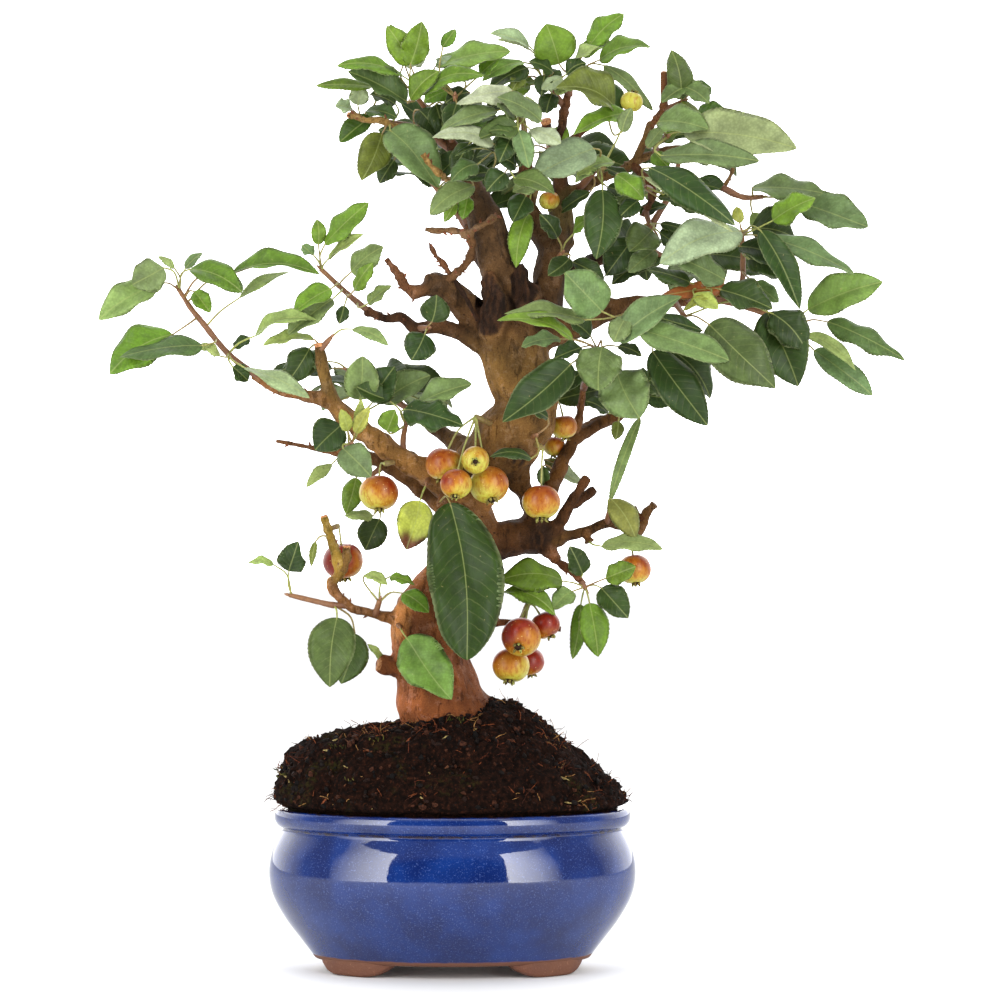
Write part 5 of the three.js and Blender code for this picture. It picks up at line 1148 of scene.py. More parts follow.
def fruit_material():
    """Fruit skin: blush that breaks into streaks and dots over yellow, under a thin wax gloss."""
    shader = Shader("fruit_skin")
    streaks = shader.noise(1.8, 4, 0.6, stretch=(1.0, 1.0, 0.5))
    darker = shader.blend(1.0, shader.tint(), linear(224, 184, 150), "MULTIPLY")
    colour = shader.strewn(shader.tint(), darker, streaks, 0.42, 0.68)
    dots = shader.ramp(shader.cells(2.6), 0.08, 0.14, 0.65, 0.0)
    colour = shader.blend(dots, colour, linear(214, 180, 110))
    colour = shader.strewn(colour, linear(126, 86, 48), shader.noise(5, 4), 0.66, 0.76, 0.7)
    shader.set(
        Base_Color=colour,
        Roughness=0.34,
        Specular_IOR_Level=0.3,
        Subsurface_Weight=0.03,
        Subsurface_Scale=2.5 * MM,
        Normal=shader.bump(shader.noise(1.2, 2), 0.12, 0.4),
    )
    return shader.material


def soil_material(settings):
    shader = Shader("dark_soil")
    clods = shader.noise(3.2, 6, 0.65)
    colour = shader.strewn(tuple(settings.soil_colour), tuple(settings.soil_light), clods, 0.38, 0.68)
    colour = shader.strewn(colour, linear(66, 36, 22), shader.noise(1.6, 4), 0.58, 0.7, 0.5)
    moss = shader.times(
        shader.ramp(shader.noise(24, 3), 0.56, 0.68), shader.ramp(shader.noise(2.4, 4), 0.42, 0.62, 0.0, 0.4))
    colour = shader.blend(moss, colour, linear(58, 56, 24))
    relief = shader.plus(clods, shader.times(shader.noise(1.0, 4, 0.7), 0.5))
    shader.set(Base_Color=colour, Roughness=0.95, Specular_IOR_Level=0.06, Normal=shader.bump(relief, 2.6))
    return shader.material


def litter_material():
    """Fibres, chips and moss in the soil, coloured by their own tint."""
    shader = Shader("soil_litter")
    grain = shader.noise(1.2, 3)
    dark = shader.blend(1.0, shader.tint(), linear(150, 140, 130), "MULTIPLY")
    colour = shader.strewn(shader.tint(), dark, grain, 0.35, 0.65)
    shader.set(
        Base_Color=colour, Roughness=0.85, Specular_IOR_Level=0.15, Normal=shader.bump(grain, 0.4))
    return shader.material


def paper_material(name, colour):
    shader = Shader(name)
    soft = shader.strewn(tuple(colour), mix(colour, (1, 1, 1), 0.3), shader.noise(400, 2), 0.3, 0.7)
    shader.set(Base_Color=soft, Roughness=0.9, Specular_IOR_Level=0.1)
    return shader.material


# ---------------------------------------------------------------- pot


def oval(radius, angle):
    """Points of the pot's oval at a half width and an angle."""
    ratio = 1 - OVAL_STEP / np.maximum(radius, BASE_RADIUS)
    return np.column_stack([radius * np.cos(angle), radius * ratio * np.sin(angle)])


def pot_profile():
    """The wall's outline from the middle underneath, up the outside, over the lip and down inside."""
    outside, lip, inside = (
        smooth_line([(reach, height, 0) for reach, height in outline], steps)[:, :2]
        for outline, steps in ((POT_OUTSIDE, 7), (POT_LIP, 4), (POT_INSIDE, 5))
    )
    under = [(reach, POT_UNDERSIDE) for reach in (0, 45, 80)]
    return np.vstack([under, outside, lip[1:], inside[1:], [(40, POT_FLOOR), (0, POT_FLOOR)]])


def build_pot_body(bm):
    profile = pot_profile()
    last = len(profile) - 1

    def place(u, v):
        at = np.rint(u * last).astype(int)
        return np.column_stack([oval(profile[at, 0], 2 * np.pi * v), profile[at, 1]])

    wrapped(bm, last, POT_SIDES, place)


def squared(wave):
    """A sine or cosine that stays longer near its ends, which makes a round section boxy."""
    return np.sign(wave) * np.abs(wave) ** FOOT_SQUARENESS


def build_foot(bm, first, second):
    """A foot that follows the oval between two angles, rounded, with its ends drawn up to the base."""

    def place(u, v):
        share = np.rint(u * (FOOT_STEPS + 2)) - 1
        closed = (share < 0) | (share > FOOT_STEPS)
        share = np.clip(share / FOOT_STEPS, 0, 1)
        rise = np.clip(np.minimum(share, 1 - share) / FOOT_RISE, 0, 1)
        rise = np.sin(rise * np.pi / 2) ** 0.7
        angle = np.radians(first + (second - first) * share)
        wide = squared(np.cos(2 * np.pi * v))
        high = squared(np.sin(2 * np.pi * v))
        half = FOOT_WIDTH / 2 * np.where(closed, 0, 0.72 + 0.28 * rise)
        low = (FOOT_HEIGHT - 1.5) * (1 - rise)
        level = np.where(closed, (low + FOOT_HEIGHT) / 2, low + (FOOT_HEIGHT - low) * (high + 1) / 2)
        reach = BASE_RADIUS - FOOT_SET_IN + wide * half + 1.1 * np.clip(high, 0, 1)
        return np.column_stack([reach * np.cos(angle), (reach - OVAL_STEP) * np.sin(angle), level])

    wrapped(bm, FOOT_STEPS + 2, FOOT_SIDES, place, material=1)


def build_pot(settings):
    bm = bmesh.new()
    build_pot_body(bm)
    bmesh.ops.recalc_face_normals(bm, faces=bm.faces)
    cutters = []
    for side in (-1, 1):
        cutter = bmesh.new()
        bmesh.ops.create_cone(
            cutter, cap_ends=True, segments=28, radius1=HOLE_RADIUS, radius2=HOLE_RADIUS,
            depth=POT_FLOOR * 2, matrix=Matrix.Translation((side * HOLE_X, 0, POT_FLOOR / 2)))
        cutters.append(cutter)
    bm = with_modifier(bm, "BOOLEAN", cutters, operation="DIFFERENCE", solver="EXACT")
    for first, second in FOOT_ANGLES:
        build_foot(bm, first, second)
    piece = to_object(bm, "glazed_pot", [glaze_material(settings), clay_material(settings)])
    settle(piece, "glaze", "pot")
    screens = screen_material()
    for name in ("drain_mesh_left", "drain_mesh_right"):
        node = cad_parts[name]
        node.data.materials.clear()
        node.data.materials.append(screens)


# ---------------------------------------------------------------- soil


def soil_rings():
    """The soil's surface as fine rings: reach and height on the right side, then on the left."""
    table = [(*right, *left) for right, left in zip(SOIL_RIGHT, SOIL_LEFT)]
    table.append((0, SOIL_MIDDLE, 0, SOIL_MIDDLE))
    return smooth_line(table, MOUND_STEPS)


def soil_surface(rings, ring, angle):
    right_reach, right_high, left_reach, left_high = rings[ring].T
    share = (1 - np.cos(angle)) / 2
    wide, narrow = SOIL_LUMPS_ROUND
    fade = np.clip(ring / (2 * MOUND_STEPS), 0, 1)
    waves = np.sin(wide * angle + right_high / 7) + np.sin(narrow * angle - left_high / 5)
    reach = right_reach + (left_reach - right_reach) * share
    height = right_high + (left_high - right_high) * share + SOIL_LUMP * fade * waves / 2
    return np.column_stack([reach * np.cos(angle), reach * SOIL_DEPTH_RATIO * np.sin(angle), height])


def build_mound(bm):
    """The soil, from its underside in the pot up to the lumpy mound above the rim."""
    rings = soil_rings()
    steps = len(rings) + len(SOIL_BURIED) - 1

    def place(u, v):
        angle = 2 * np.pi * v
        row = np.rint(u * steps).astype(int)
        points = soil_surface(rings, np.clip(row - len(SOIL_BURIED), 0, None), angle)
        for at, (radius, height) in enumerate(SOIL_BURIED):
            here = row == at
            across = oval(np.full(here.sum(), float(radius)), angle[here])
            points[here] = np.column_stack([across, np.full(here.sum(), float(height))])
        return points

    wrapped(bm, steps, MOUND_SIDES, place)
    bmesh.ops.recalc_face_normals(bm, faces=bm.faces)
    bm.normal_update()
    for vert in bm.verts:
        if vert.co.z > SOIL_EDGE:
            fade = min((vert.co.z - SOIL_EDGE) / 5, 1)
            lump = sum(depth * rough(vert.co, size, seed) for size, depth, seed in MOUND_LUMPS)
            for size, depth in CLODS:
                near, far = noise.voronoi(vert.co / size)[0][:2]
                lump += depth * min((far - near) * 1.8, 1)
            vert.co += vert.normal * lump * fade


def on_mound(rings, rng, front=0.5):
    """A random place on the mound, with its way out."""
    ring = np.array([int(len(rings) * rng.uniform(*LITTER_RINGS))])
    angle = np.array([rng.uniform(-np.pi, 0) if rng.random() < front else rng.uniform(0, np.pi)])
    here, beside = (soil_surface(rings, ring, angle + d)[0] for d in (0, 0.03))
    above = soil_surface(rings, ring + 2, angle)[0]
    out = unit(np.cross(beside - here, above - here))
    return Vector(here), Vector(out if out[2] > 0 else -out)


def in_batches(bm, build, count, batch=60):
    """Calls build(shape) count times, on small shapes that are then added to the large one."""
    layers(bm)
    for start in range(0, count, batch):
        small = bmesh.new()
        layers(small)
        for _ in range(min(batch, count - start)):
            build(small)
        mesh = bpy.data.meshes.new("batch")
        small.to_mesh(mesh)
        small.free()
        bm.from_mesh(mesh)
        bpy.data.meshes.remove(mesh)


def build_litter(bm):
    """Crumbs, root fibres, chips and tufts of moss on the mound."""
    rng = random.Random(LITTER_SEED)
    rings = soil_rings()
    browns = (linear(36, 20, 14), linear(20, 12, 9), linear(66, 36, 22), linear(12, 8, 7))
    straws = (linear(124, 66, 36), linear(96, 46, 26), linear(160, 118, 70), linear(70, 34, 20))
    clumps = [on_mound(rings, rng, 0.6) for _ in range(FIBRE_CLUMPS)]
    chips = (linear(124, 66, 38), linear(96, 60, 40), linear(168, 150, 96))
    mosses = (linear(92, 92, 40), linear(120, 112, 56), linear(62, 66, 30))

    def jolt(x, y, z):
        return Vector([rng.uniform(-most, most) for most in (x, y, z)])

    def crumb(small):
        at, out = on_mound(rings, rng)
        size = rng.uniform(*CRUMB_SIZES) * rng.choice((1, 1, 1, 1.9))
        turn = Matrix.Rotation(rng.uniform(0, 6.28), 4, Vector((rng.random(), rng.random(), 1)))
        place = Matrix.Translation(at + out * size * 0.4) @ turn @ Matrix.Diagonal((1, 0.7, 0.6, 1))
        made = bmesh.ops.create_icosphere(small, subdivisions=1, radius=size, matrix=place)["verts"]
        colour = rng.choice(browns)
        tint_layer, _ = layers(small)
        for vert in made:
            vert.co += jolt(0.22, 0.22, 0.22) * size
            vert[tint_layer] = (*colour, 1)

    def fibre(small):
        at, out = on_mound(rings, rng)
        heart, way = rng.choice(clumps)
        if rng.random() < 0.6:
            at = heart + jolt(7, 7, 4)
            at, out = heart + (at - heart) - way * (at - heart).dot(way), way
        colour = rng.choice(straws)
        length = rng.uniform(*FIBRE_LENGTHS)
        aim = Vector((rng.uniform(-1, 1), rng.uniform(-1, 1), rng.uniform(-0.5, 0.7)))
        points = []
        for i in range(5):
            points.append((*at, rng.uniform(*FIBRE_RADII) * (1 - i / 9)))
            aim = (aim + 0.45 * jolt(1, 1, 1)).normalized()
            at = at + aim * length / 5 + out * (0.8 - 0.4 * i) * 0.9
        tube(small, smooth_line(points, 2), 4, colour)

    def chip(small):
        at, out = on_mound(rings, rng)
        way = Vector((rng.uniform(-1, 1), rng.uniform(-1, 1), rng.uniform(-0.4, 0.8))).normalized()
        size = rng.uniform(*CHIP_SIZES)
        ends = (at - way * size, at + way * size + out)
        line = [(*ends[0], 0.1), (*(at + out * 0.4), size * 0.24), (*ends[1], 0.15)]
        tube(small, line, 4, rng.choice(chips))

    def tuft(small):
        heart, out = on_mound(rings, rng, 0.6)
        for _ in range(TUFT_BLADES):
            start = heart + jolt(5, 5, 1)
            tip = start + out * rng.uniform(*TUFT_HEIGHTS) + jolt(1, 1, 1)
            tube(small, [(*start, 0.45), (*tip, 0.1)], 3, rng.choice(mosses))

    in_batches(bm, crumb, CRUMBS)
    in_batches(bm, fibre, FIBRES)
    in_batches(bm, chip, CHIPS)
    in_batches(bm, tuft, TUFTS, 4)


def build_soil(settings):
    bm = bmesh.new()
    build_mound(bm)
    mound = to_object(bm, "soil_mound", [soil_material(settings)])
    settle(mound, "soil", "soil")
    bm = bmesh.new()
    build_litter(bm)
    litter = to_object(bm, "soil_litter", [litter_material()])
    settle(litter, "soil")


# ---------------------------------------------------------------- trunk


def hollow_at(point):
    """How far from the middle of the nearest torn hollow a place is: its rim lies at 1."""
    away = []
    for x, y, z, wide, high in HOLLOWS:
        rise = (point[2] - z) / high
        wide = wide * (1 - HOLLOW_TAPER * held(rise))
        behind = max(point[1] - y - HOLLOW_DEPTH, 0) / HOLLOW_END
        away.append(math.hypot((point[0] - x) / wide, rise, behind))
    return min(away) + HOLLOW_RAGGED * rough(point, 4, 7)


def bark_tone(point, radius, light=PLAIN_LIGHT):
    """The bark's colour at a place on wood of a radius, with its scars, painted shade in the crotches, its
    torn hollows and a painted highlight on the raised lip round each hollow. light multiplies it, and carries
    the limbs' painted shade and the painted shade and light of the bark's relief.
    """
    heights = sorted(BARK_TONES)
    point = Vector(point[:3])
    at = np.interp(point[2], heights, range(len(heights)))
    low = int(at)
    high = min(low + 1, len(heights) - 1)
    colour = mix(BARK_TONES[heights[low]], BARK_TONES[heights[high]], at - low)
    colour = mix(TWIG_TONE, colour, held((radius - 2) / 4))
    colour = tuple(value * share for value, share in zip(colour, light))
    # Dark patches: scars, and painted shade in the crotches between limbs.
    for x, y, z, size in SCARS_AND_CROTCH_SHADE:
        away = (point - Vector((x, y, z))).length / size
        ridged = abs(rough((point.x, point.y, point.z * 0.3), 4.5, 3))
        scar = math.exp(-(away ** 4)) * min(0.45 + 3.2 * ridged, 1)
        colour = mix(colour, SCAR_AND_SHADE_TONE, min(scar, 0.95))
    hollow = hollow_at(point)
    ridge = abs(rough((point.x, point.y, point.z * 0.25), 2.6, 3))
    torn = mix(SCAR_AND_SHADE_TONE, HOLLOW_RIDGE_TONE, min(ridge * 1.1, 1))
    colour = mix(colour, torn, held((1.04 - hollow) / 0.1, 0, 0.97))
    # Painted highlight: the raised lip round each hollow is painted lighter.
    rim = math.exp(-((hollow - 1.1) / 0.1) ** 2)
    return mix(colour, tuple(value * 1.7 for value in colour), 0.5 * rim)


def limb_lines():
    lines = [smooth_line(line, LIMB_SPAN_STEPS) for line in LIMBS.values()]
    return lines + [smooth_line(knob, LIMB_SPAN_STEPS) for knob in DEAD_KNOBS]


def thick_part(line):
    """The stretch of a limb from its root that is too thick for a plain twig."""
    thin = np.flatnonzero(line[:, 3] < THIN_LIMB)
    return line[: thin[0] if len(thin) else len(line)]


def build_thick_wood(lines):
    """All wood that is thick enough, joined into one skin and smoothed."""
    bm = bmesh.new()
    for line in lines:
        thick = thick_part(line)
        if len(thick) > 3:
            tube(bm, thick, LIMB_SIDES)
    bmesh.ops.recalc_face_normals(bm, faces=bm.faces)
    bm = with_modifier(bm, "REMESH", mode="VOXEL", voxel_size=BARK_VOXEL)
    for _ in range(BARK_SMOOTHINGS):
        bmesh.ops.smooth_vert(
            bm, verts=bm.verts, factor=0.5, use_axis_x=True, use_axis_y=True, use_axis_z=True)
    return bm


def wood_tree(lines):
    """The middle lines to search in, with the radius and the lightness of the wood at each point, which holds
    the painted shade of limbs in the crotch and at the back.
    """
    lights = [LIMB_TONE_AND_SHADE.get(name, PLAIN_LIGHT) for name in LIMBS] + [PLAIN_LIGHT] * len(DEAD_KNOBS)
    points = np.vstack([
        np.column_stack([line, np.tile(light, (len(line), 1))]) for line, light in zip(lines, lights)])
    tree = kdtree.KDTree(len(points))
    for i, point in enumerate(points):
        tree.insert(point[:3], i)
    tree.balance()
    return tree, points[:, 3:]


# The middle lines of all wood, to find the limb that a leaf's stalk can start from.
WOOD = wood_tree(limb_lines())[0]


def roughen(bm, tree, traits):
    """Folds, knots and torn scars in the bark, with painted shade in its crevices, painted light on its
    ridges, and a painted lit flank low on the left of the trunk.
    """
    tint_layer, _ = layers(bm)
    bm.normal_update()
    for vert in bm.verts:
        near = tree.find_n(vert.co, WOOD_NEIGHBOURS)
        weights = [1 / (0.12 + abs(away / traits[at, 0] - 1)) ** 3 for _, at, away in near]
        # light is the limb's tone, with painted shade for limbs in the crotch and at the back.
        radius, *light = np.average(traits[[at for _, at, _ in near]], axis=0, weights=weights)
        scale = min(0.25 + radius / 14, 1.3)
        streak = Vector((vert.co.x, vert.co.y, vert.co.z * 0.35))
        push = sum(depth * rough(streak if size < 8 else vert.co, size, size) for size, depth in BARK_WAVES)
        scarred = sum(math.exp(-((vert.co - Vector(s[:3])).length / s[3]) ** 2) for s in SCARS_AND_CROTCH_SHADE)
        push += min(scarred, 1) * 2.4 * rough(streak, 3.6, 5)
        knots = 0.24 * min(radius, 9) * rough(vert.co, 6, 21) * held((12 - radius) / 5)
        hollow = hollow_at(vert.co)
        lip = 1.9 * math.exp(-((hollow - 1.05) / 0.2) ** 2) - 2.6 * math.exp(-((hollow / 0.8) ** 4))
        lip += 1.6 * rough((vert.co.x, vert.co.y, vert.co.z * 0.25), 2.6, 3) * (hollow < 0.95)
        # Painted shade and light: the bark is painted darker where the folds sink in and lighter where they
        # stand out.
        shade = held(1 + 0.42 * push, 0.3, 1.5)
        # Painted light: bark facing left, low on the trunk, is painted paler.
        low = held((PAINTED_LIT_FLANK_TOP - vert.co.z) / 20)
        shade *= 1 + PAINTED_LIT_FLANK * low * max(-vert.normal.x, 0) ** 1.5
        tone = bark_tone(vert.co, radius, [share * shade for share in light])
        vert.co += vert.normal * (push * scale + knots + lip)
        vert[tint_layer] = (*tone, 1)
    for face in bm.faces:
        face.smooth = True


def build_bud(bm, at, out, size):
    middle = at + out * size * 0.8
    tip = at + out * size * 2.2
    line = [(*(at - out), size * 0.6), (*middle, size * 0.62), (*tip, size * 0.12)]
    tube(bm, line, 6, mix(TWIG_TONE, (0.3, 0.1, 0.05), 0.4))


def build_thin_wood(bm):
    """Thin twigs with their buds, and the cut faces of sawn stubs."""
    rng = random.Random(TWIG_SEED)
    for name, points in LIMBS.items():
        line = smooth_line(points, LIMB_SPAN_STEPS)
        tangents, across, over = frames_along(line)
        thin = line[max(len(thick_part(line)) - 3, 0) :]
        if len(thin) > 3:
            wavy = thin.copy()
            wavy[:, 3] *= 1 + TWIG_LUMPS * np.array([rough(p, 3.0, 9) for p in thin])
            tone = bark_tone(thin[-1], 3, LIMB_TONE_AND_SHADE.get(name, PLAIN_LIGHT))
            tube(bm, smooth_line(wavy, 2), THIN_SIDES, tone)
        if name in BUDDED_LIMBS:
            for at in range(LIMB_SPAN_STEPS, len(line) - 1, BUD_STEP):
                if line[at, 3] < BUDDED_BELOW:
                    turn = rng.uniform(0, 2 * math.pi)
                    out = across[at] * math.cos(turn) + over[at] * math.sin(turn) + 0.6 * tangents[at]
                    out = Vector(unit(out))
                    start = Vector(line[at, :3]) + out * line[at, 3] * 0.8
                    build_bud(bm, start, out, rng.uniform(*BUD_SIZES))
        if name in CUT_LIMBS:
            end, way, radius = line[-1, :3], tangents[-1], line[-1, 3]
            face = [(*(end + way * step), radius * share) for step, share in CUT_FACE]
            tube(bm, face, 14, material=1)


def build_trunk():
    lines = limb_lines()
    bm = build_thick_wood(lines)
    roughen(bm, *wood_tree([thick_part(line) for line in lines]))
    build_thin_wood(bm)
    piece = to_object(bm, "trunk_bark", [bark_material(), cut_material()])
    settle(piece, "bark", "trunk")


# ---------------------------------------------------------------- fruit


def build_fruit(bm, middle, radius, way, ripeness, blush, rng):
    """A squat fruit with a dimple at its stalk, a small basin and five dried sepals."""
    axis = Vector(way).normalized()
    turn = axis.to_track_quat("Z", "Y").to_matrix()
    seed = rng.uniform(0, 50)
    sun = Vector((blush, -0.4, rng.uniform(0.3, 0.8))).normalized()

    def local(u, v):
        polar = np.pi * u
        across = np.sin(polar) ** 0.92
        ribs = 1 + FRUIT_RIBS * np.sin(5 * 2 * np.pi * v + seed) * np.clip(u - 0.5, 0, 1) * 2
        height = -FRUIT_SQUATNESS * np.cos(polar)
        height += DIMPLE * np.exp(-(across / DIMPLE_REACH) ** 2) * (u < 0.5)
        height -= BASIN * np.exp(-(across / BASIN_REACH) ** 2) * (u > 0.5)
        angle = 2 * np.pi * v
        return np.column_stack([
            across * ribs * np.cos(angle), across * ribs * np.sin(angle), height]) * radius * 0.98

    def place(u, v):
        return local(u, v) @ np.array(turn).T + np.array(middle)

    def colour(u, v):
        points = local(u, v) @ np.array(turn).T
        tones = []
        for point, share in zip(points, u):
            ripe = ripeness + 0.5 * Vector(point / radius).dot(sun) + 0.5 * (0.4 - share)
            ripe = held(ripe + 0.28 * rough(point, radius * 0.6, seed))
            low, mid, high = FRUIT_TONES
            tones.append(mix(low, mid, ripe * 2) if ripe < 0.5 else mix(mid, high, ripe * 2 - 1))
        return tones

    wrapped(bm, FRUIT_ALONG, FRUIT_AROUND, place, colour, 0)
    basin = Vector(middle) + axis * radius * 0.82
    pit = [(*(basin - axis * 0.6), radius * 0.2), (*(basin + axis * radius * 0.1), radius * 0.17)]
    tube(bm, pit, 10, PIT_TONE, material=2)
    for i in range(SEPALS):
        angle = 2 * math.pi * (i + rng.uniform(-0.2, 0.2)) / SEPALS
        side = turn @ Vector((math.cos(angle), math.sin(angle), 0))
        spread = rng.uniform(0.1, 0.5)
        outs = (0.16, 0.2 + 0.15 * spread, 0.18 + 0.4 * spread)
        line = [
            (*(basin + side * radius * out + axis * radius * up), width)
            for out, up, width in zip(outs, (0, 0.12, 0.24), (radius * 0.07, radius * 0.075, 0.08))
        ]
        tone = mix(SEPAL_TONE, FRUIT_STALK_TONE, rng.uniform(0.2, 0.9))
        tube(bm, smooth_line(line, 3), 5, tone, material=2)


def build_bunch(name, stem, fruits, materials, seed):
    """A bunch: its knobbly spur, and the stalks and fruits that hang from the spur's end."""
    rng = random.Random(seed)
    bm = bmesh.new()
    spur = smooth_line(stem, 5)
    spur[:, 3] *= 1 + SPUR_SWELLING * np.sin(np.arange(len(spur)) * 1.9)
    tube(bm, spur, 9, (TWIG_TONE, mix(TWIG_TONE, FRUIT_STALK_TONE, 0.4)), material=1)
    start = Vector(stem[-1][:3])
    for x, y, z, radius, way, ripeness, blush in fruits:
        middle = Vector((x, y, z))
        away = Vector(way).normalized()
        end = middle - away * radius * 0.7
        bend = (middle - away * radius * 1.5).lerp(start, 0.35)
        line = smooth_line([(*p, r) for p, r in zip((start, bend, end), FRUIT_STALK_RADII)], 7)
        tube(bm, line, 7, (FRUIT_STALK_TONE, mix(FRUIT_STALK_TONE, TWIG_TONE, 0.25)), material=1)
        build_fruit(bm, middle, radius, way, ripeness, blush, rng)
    piece = to_object(bm, name + "_fine", materials)
    settle(piece, "fruit", name)


# ---------------------------------------------------------------- leaves


def leaf_frame(foot, tip, tilt):
    """The directions along a leaf, across it and out of its upper face."""
    along = unit(tip - foot)
    up = np.array((0, -math.sin(math.radians(tilt)), math.cos(math.radians(tilt))))
    up = unit(up - along * up.dot(along))
    return along, np.cross(up, along), up


class Leaf:
    """One leaf's blade as a surface: where it lies for a share along it and a share across it."""

    def __init__(self, foot, tip, width, tilt, kind, rng):
        self.foot, self.tip, self.kind = np.array(foot, float), np.array(tip, float), kind
        self.length = float(np.linalg.norm(self.tip - self.foot))
        self.half = width / 2
        self.along, self.side, self.up = leaf_frame(self.foot, self.tip, tilt)
        self.fold = math.tan(math.radians(rng.uniform(*FOLDS)))
        self.curl = rng.uniform(*CURLS)
        self.twist = rng.uniform(*TWISTS)
        self.wave = rng.uniform(*EDGE_WAVES)
        self.waves = rng.uniform(*WAVES_ALONG)
        self.phases = (rng.uniform(0, 6.28), rng.uniform(0, 6.28))
        self.bend = rng.uniform(*SWAYS)
        self.teeth = np.array([rng.uniform(*TEETH) for _ in range(MOST_TEETH)])
        self.arch = BLADE_ARCH[kind] * rng.uniform(*ARCHES)
        self.spacing = VEIN_SPACING * (self.length / 40) ** 0.5

    def outline(self, s):
        foot, tip = BLADE_ENDS.get(self.kind, (0.55, 0.74))
        widest = foot / (foot + tip)
        s = np.clip(s, 0, 1)
        return s ** foot * (1 - s) ** tip / (widest ** foot * (1 - widest) ** tip) * (1 - 0.3 * s ** 9)

    def veins(self, s, t):
        """How far along the row of side veins a place is: whole numbers and a half lie on a vein."""
        rise = np.abs(t) * (0.6 + 0.35 * np.abs(t))
        return (s * self.length - rise * self.half * self.outline(s)) / self.spacing

    def surface(self, s, t):
        half = self.half * self.outline(s)
        edge = np.abs(t)
        height = (np.sqrt(t * t + 0.01) - 0.45) * half * self.fold - half * self.curl * (t ** 4 - 0.3)
        phase = np.where(t < 0, self.phases[0], self.phases[1])
        height = height + half * self.wave * t * t * np.sin(2 * np.pi * self.waves * s + phase)
        between = np.abs(np.sin(np.pi * (self.veins(s, t) - 0.5)))
        inside = edge ** 0.5 * (1 - edge ** 4) * np.sin(np.pi * np.clip(s, 0, 1)) ** 0.5
        height = height + PUCKER * between * inside
        reach = t * half
        turn = self.twist * (s - 0.4)
        arch = 4 * s * (1 - s) * self.arch * self.length
        sway = self.bend * self.length * np.sin(np.pi * s)
        aside = reach * np.cos(turn) - height * np.sin(turn) + sway
        above = reach * np.sin(turn) + height * np.cos(turn) + arch
        return (
            self.foot
            + np.multiply.outer(s * self.length, self.along)
            + np.multiply.outer(aside, self.side)
            + np.multiply.outer(above, self.up)
        )


def build_blade(bm, leaf, tone, under):
    """The blade: toothed, folded along its midrib, waved at its edges, and thin towards them."""
    along = held(2 * round(leaf.length / BLADE_STEP / 2), *BLADE_ROWS)
    around = 2 * BLADE_ACROSS

    def shares(u, v):
        t = np.where(v <= 0.5, 4 * v - 1, 3 - 4 * v)
        row = np.rint(u * along).astype(int)
        tooth = (row % 2 == 1) & (np.abs(t) > EDGE) & (row > 1) & (row < along - 1)
        return 0.55 * u + 0.45 * (1 - np.cos(np.pi * u)) / 2, t, row, tooth

    def place(u, v):
        s, t, row, tooth = shares(u, v)
        depth = leaf.teeth[row] / np.maximum(leaf.half * leaf.outline(s), 1.5)
        reach = np.where(tooth, t * (1 + depth), t)
        points = leaf.surface(np.where(tooth, s + 0.3 / along, s), reach)
        thick = BLADE_THICKNESS / 2 * (1 - t * t) * np.sin(np.pi * np.clip(s, 0.0, 1)) ** 0.3
        side = np.where(v < 0.5, 1, -1)
        return points + np.multiply.outer(thick * side, leaf.up)

    def colour(u, v):
        s, t, row, _ = shares(u, v)
        below = ((v > 0.5) & (np.abs(t) < EDGE))[:, None]
        # The fourth value, the share out from the midrib, is where the leaf material paints a pale sheen
        # along the edge.
        return np.column_stack([np.where(below, np.array(under), tone(s, t)), np.abs(t)])

    def marks(u, v):
        s, t, _, _ = shares(u, v)
        return leaf.veins(s, t) / VEINS_PER_UV, 0.5 + t * leaf.half * leaf.outline(s) / WIDTH_PER_UV

    wrapped(bm, along, around, place, colour, 0, marks)


def nearest_on_stem(stem, point):
    """The place inside the stem, or a limb much nearer, from which a stalk to a point starts."""
    corners = [Vector(corner) for corner in stem[1:]]
    before = Vector(stem[-2])
    corners[-1] = corners[-1].lerp(before, STALK_SUNK / (before - corners[-1]).length)
    best = corners[0]
    for first, second in zip(corners, corners[1:]):
        run = second - first
        share = held((Vector(point) - first).dot(run) / run.length_squared)
        candidate = first + run * share
        if (candidate - Vector(point)).length < (best - Vector(point)).length:
            best = candidate
    wood, _, away = WOOD.find(point)
    if away < NEARER * (best - Vector(point)).length:
        best = wood
    return np.array(best)


def build_stalk(bm, leaf, stem, rng):
    """The stalk, which runs on under the blade as its midrib."""
    start = nearest_on_stem(stem, leaf.foot)
    reach = np.linalg.norm(leaf.foot - start)
    points = [start]
    if reach > LONG_STALK:
        bend = leaf.foot - leaf.along * STALK_BEND * reach
        points.append(bend + (start - bend) * STALK_BEND)
    points.append(leaf.foot)
    stalk = smooth_line([(*p, LEAF_STALK_RADIUS) for p in points], 5)
    stalk[:, 3] = np.linspace(LEAF_STALK_RADIUS * 1.25, LEAF_STALK_RADIUS * 0.9, len(stalk))
    shares = np.linspace(0.05, 0.92, 9)
    rib = leaf.surface(shares, np.zeros_like(shares)) - leaf.up * 0.5
    rib = np.column_stack([rib, np.linspace(0.5, 0.16, len(shares))])
    green, red = STALK_TONES
    tone = mix(green, red, rng.random())
    tube(bm, np.vstack([stalk, rib]), 6, (tone, mix(tone, LEAF_TONES["pale"], 0.5)), material=1)


def leaf_tone(kind, rng):
    """A leaf's own colour, and how it changes over the blade."""
    base = np.array(LEAF_TONES[kind]) * rng.uniform(*LEAF_LIGHT)
    base = base * np.array((rng.uniform(0.9, 1.12), 1, rng.uniform(0.85, 1.15)))
    centre = base * LEAF_CENTRE

    def tone(s, t):
        share = (np.abs(t) ** 1.5)[:, None]
        return np.clip(centre * (1 - share) + base * share, 0, 1)

    return tone, base


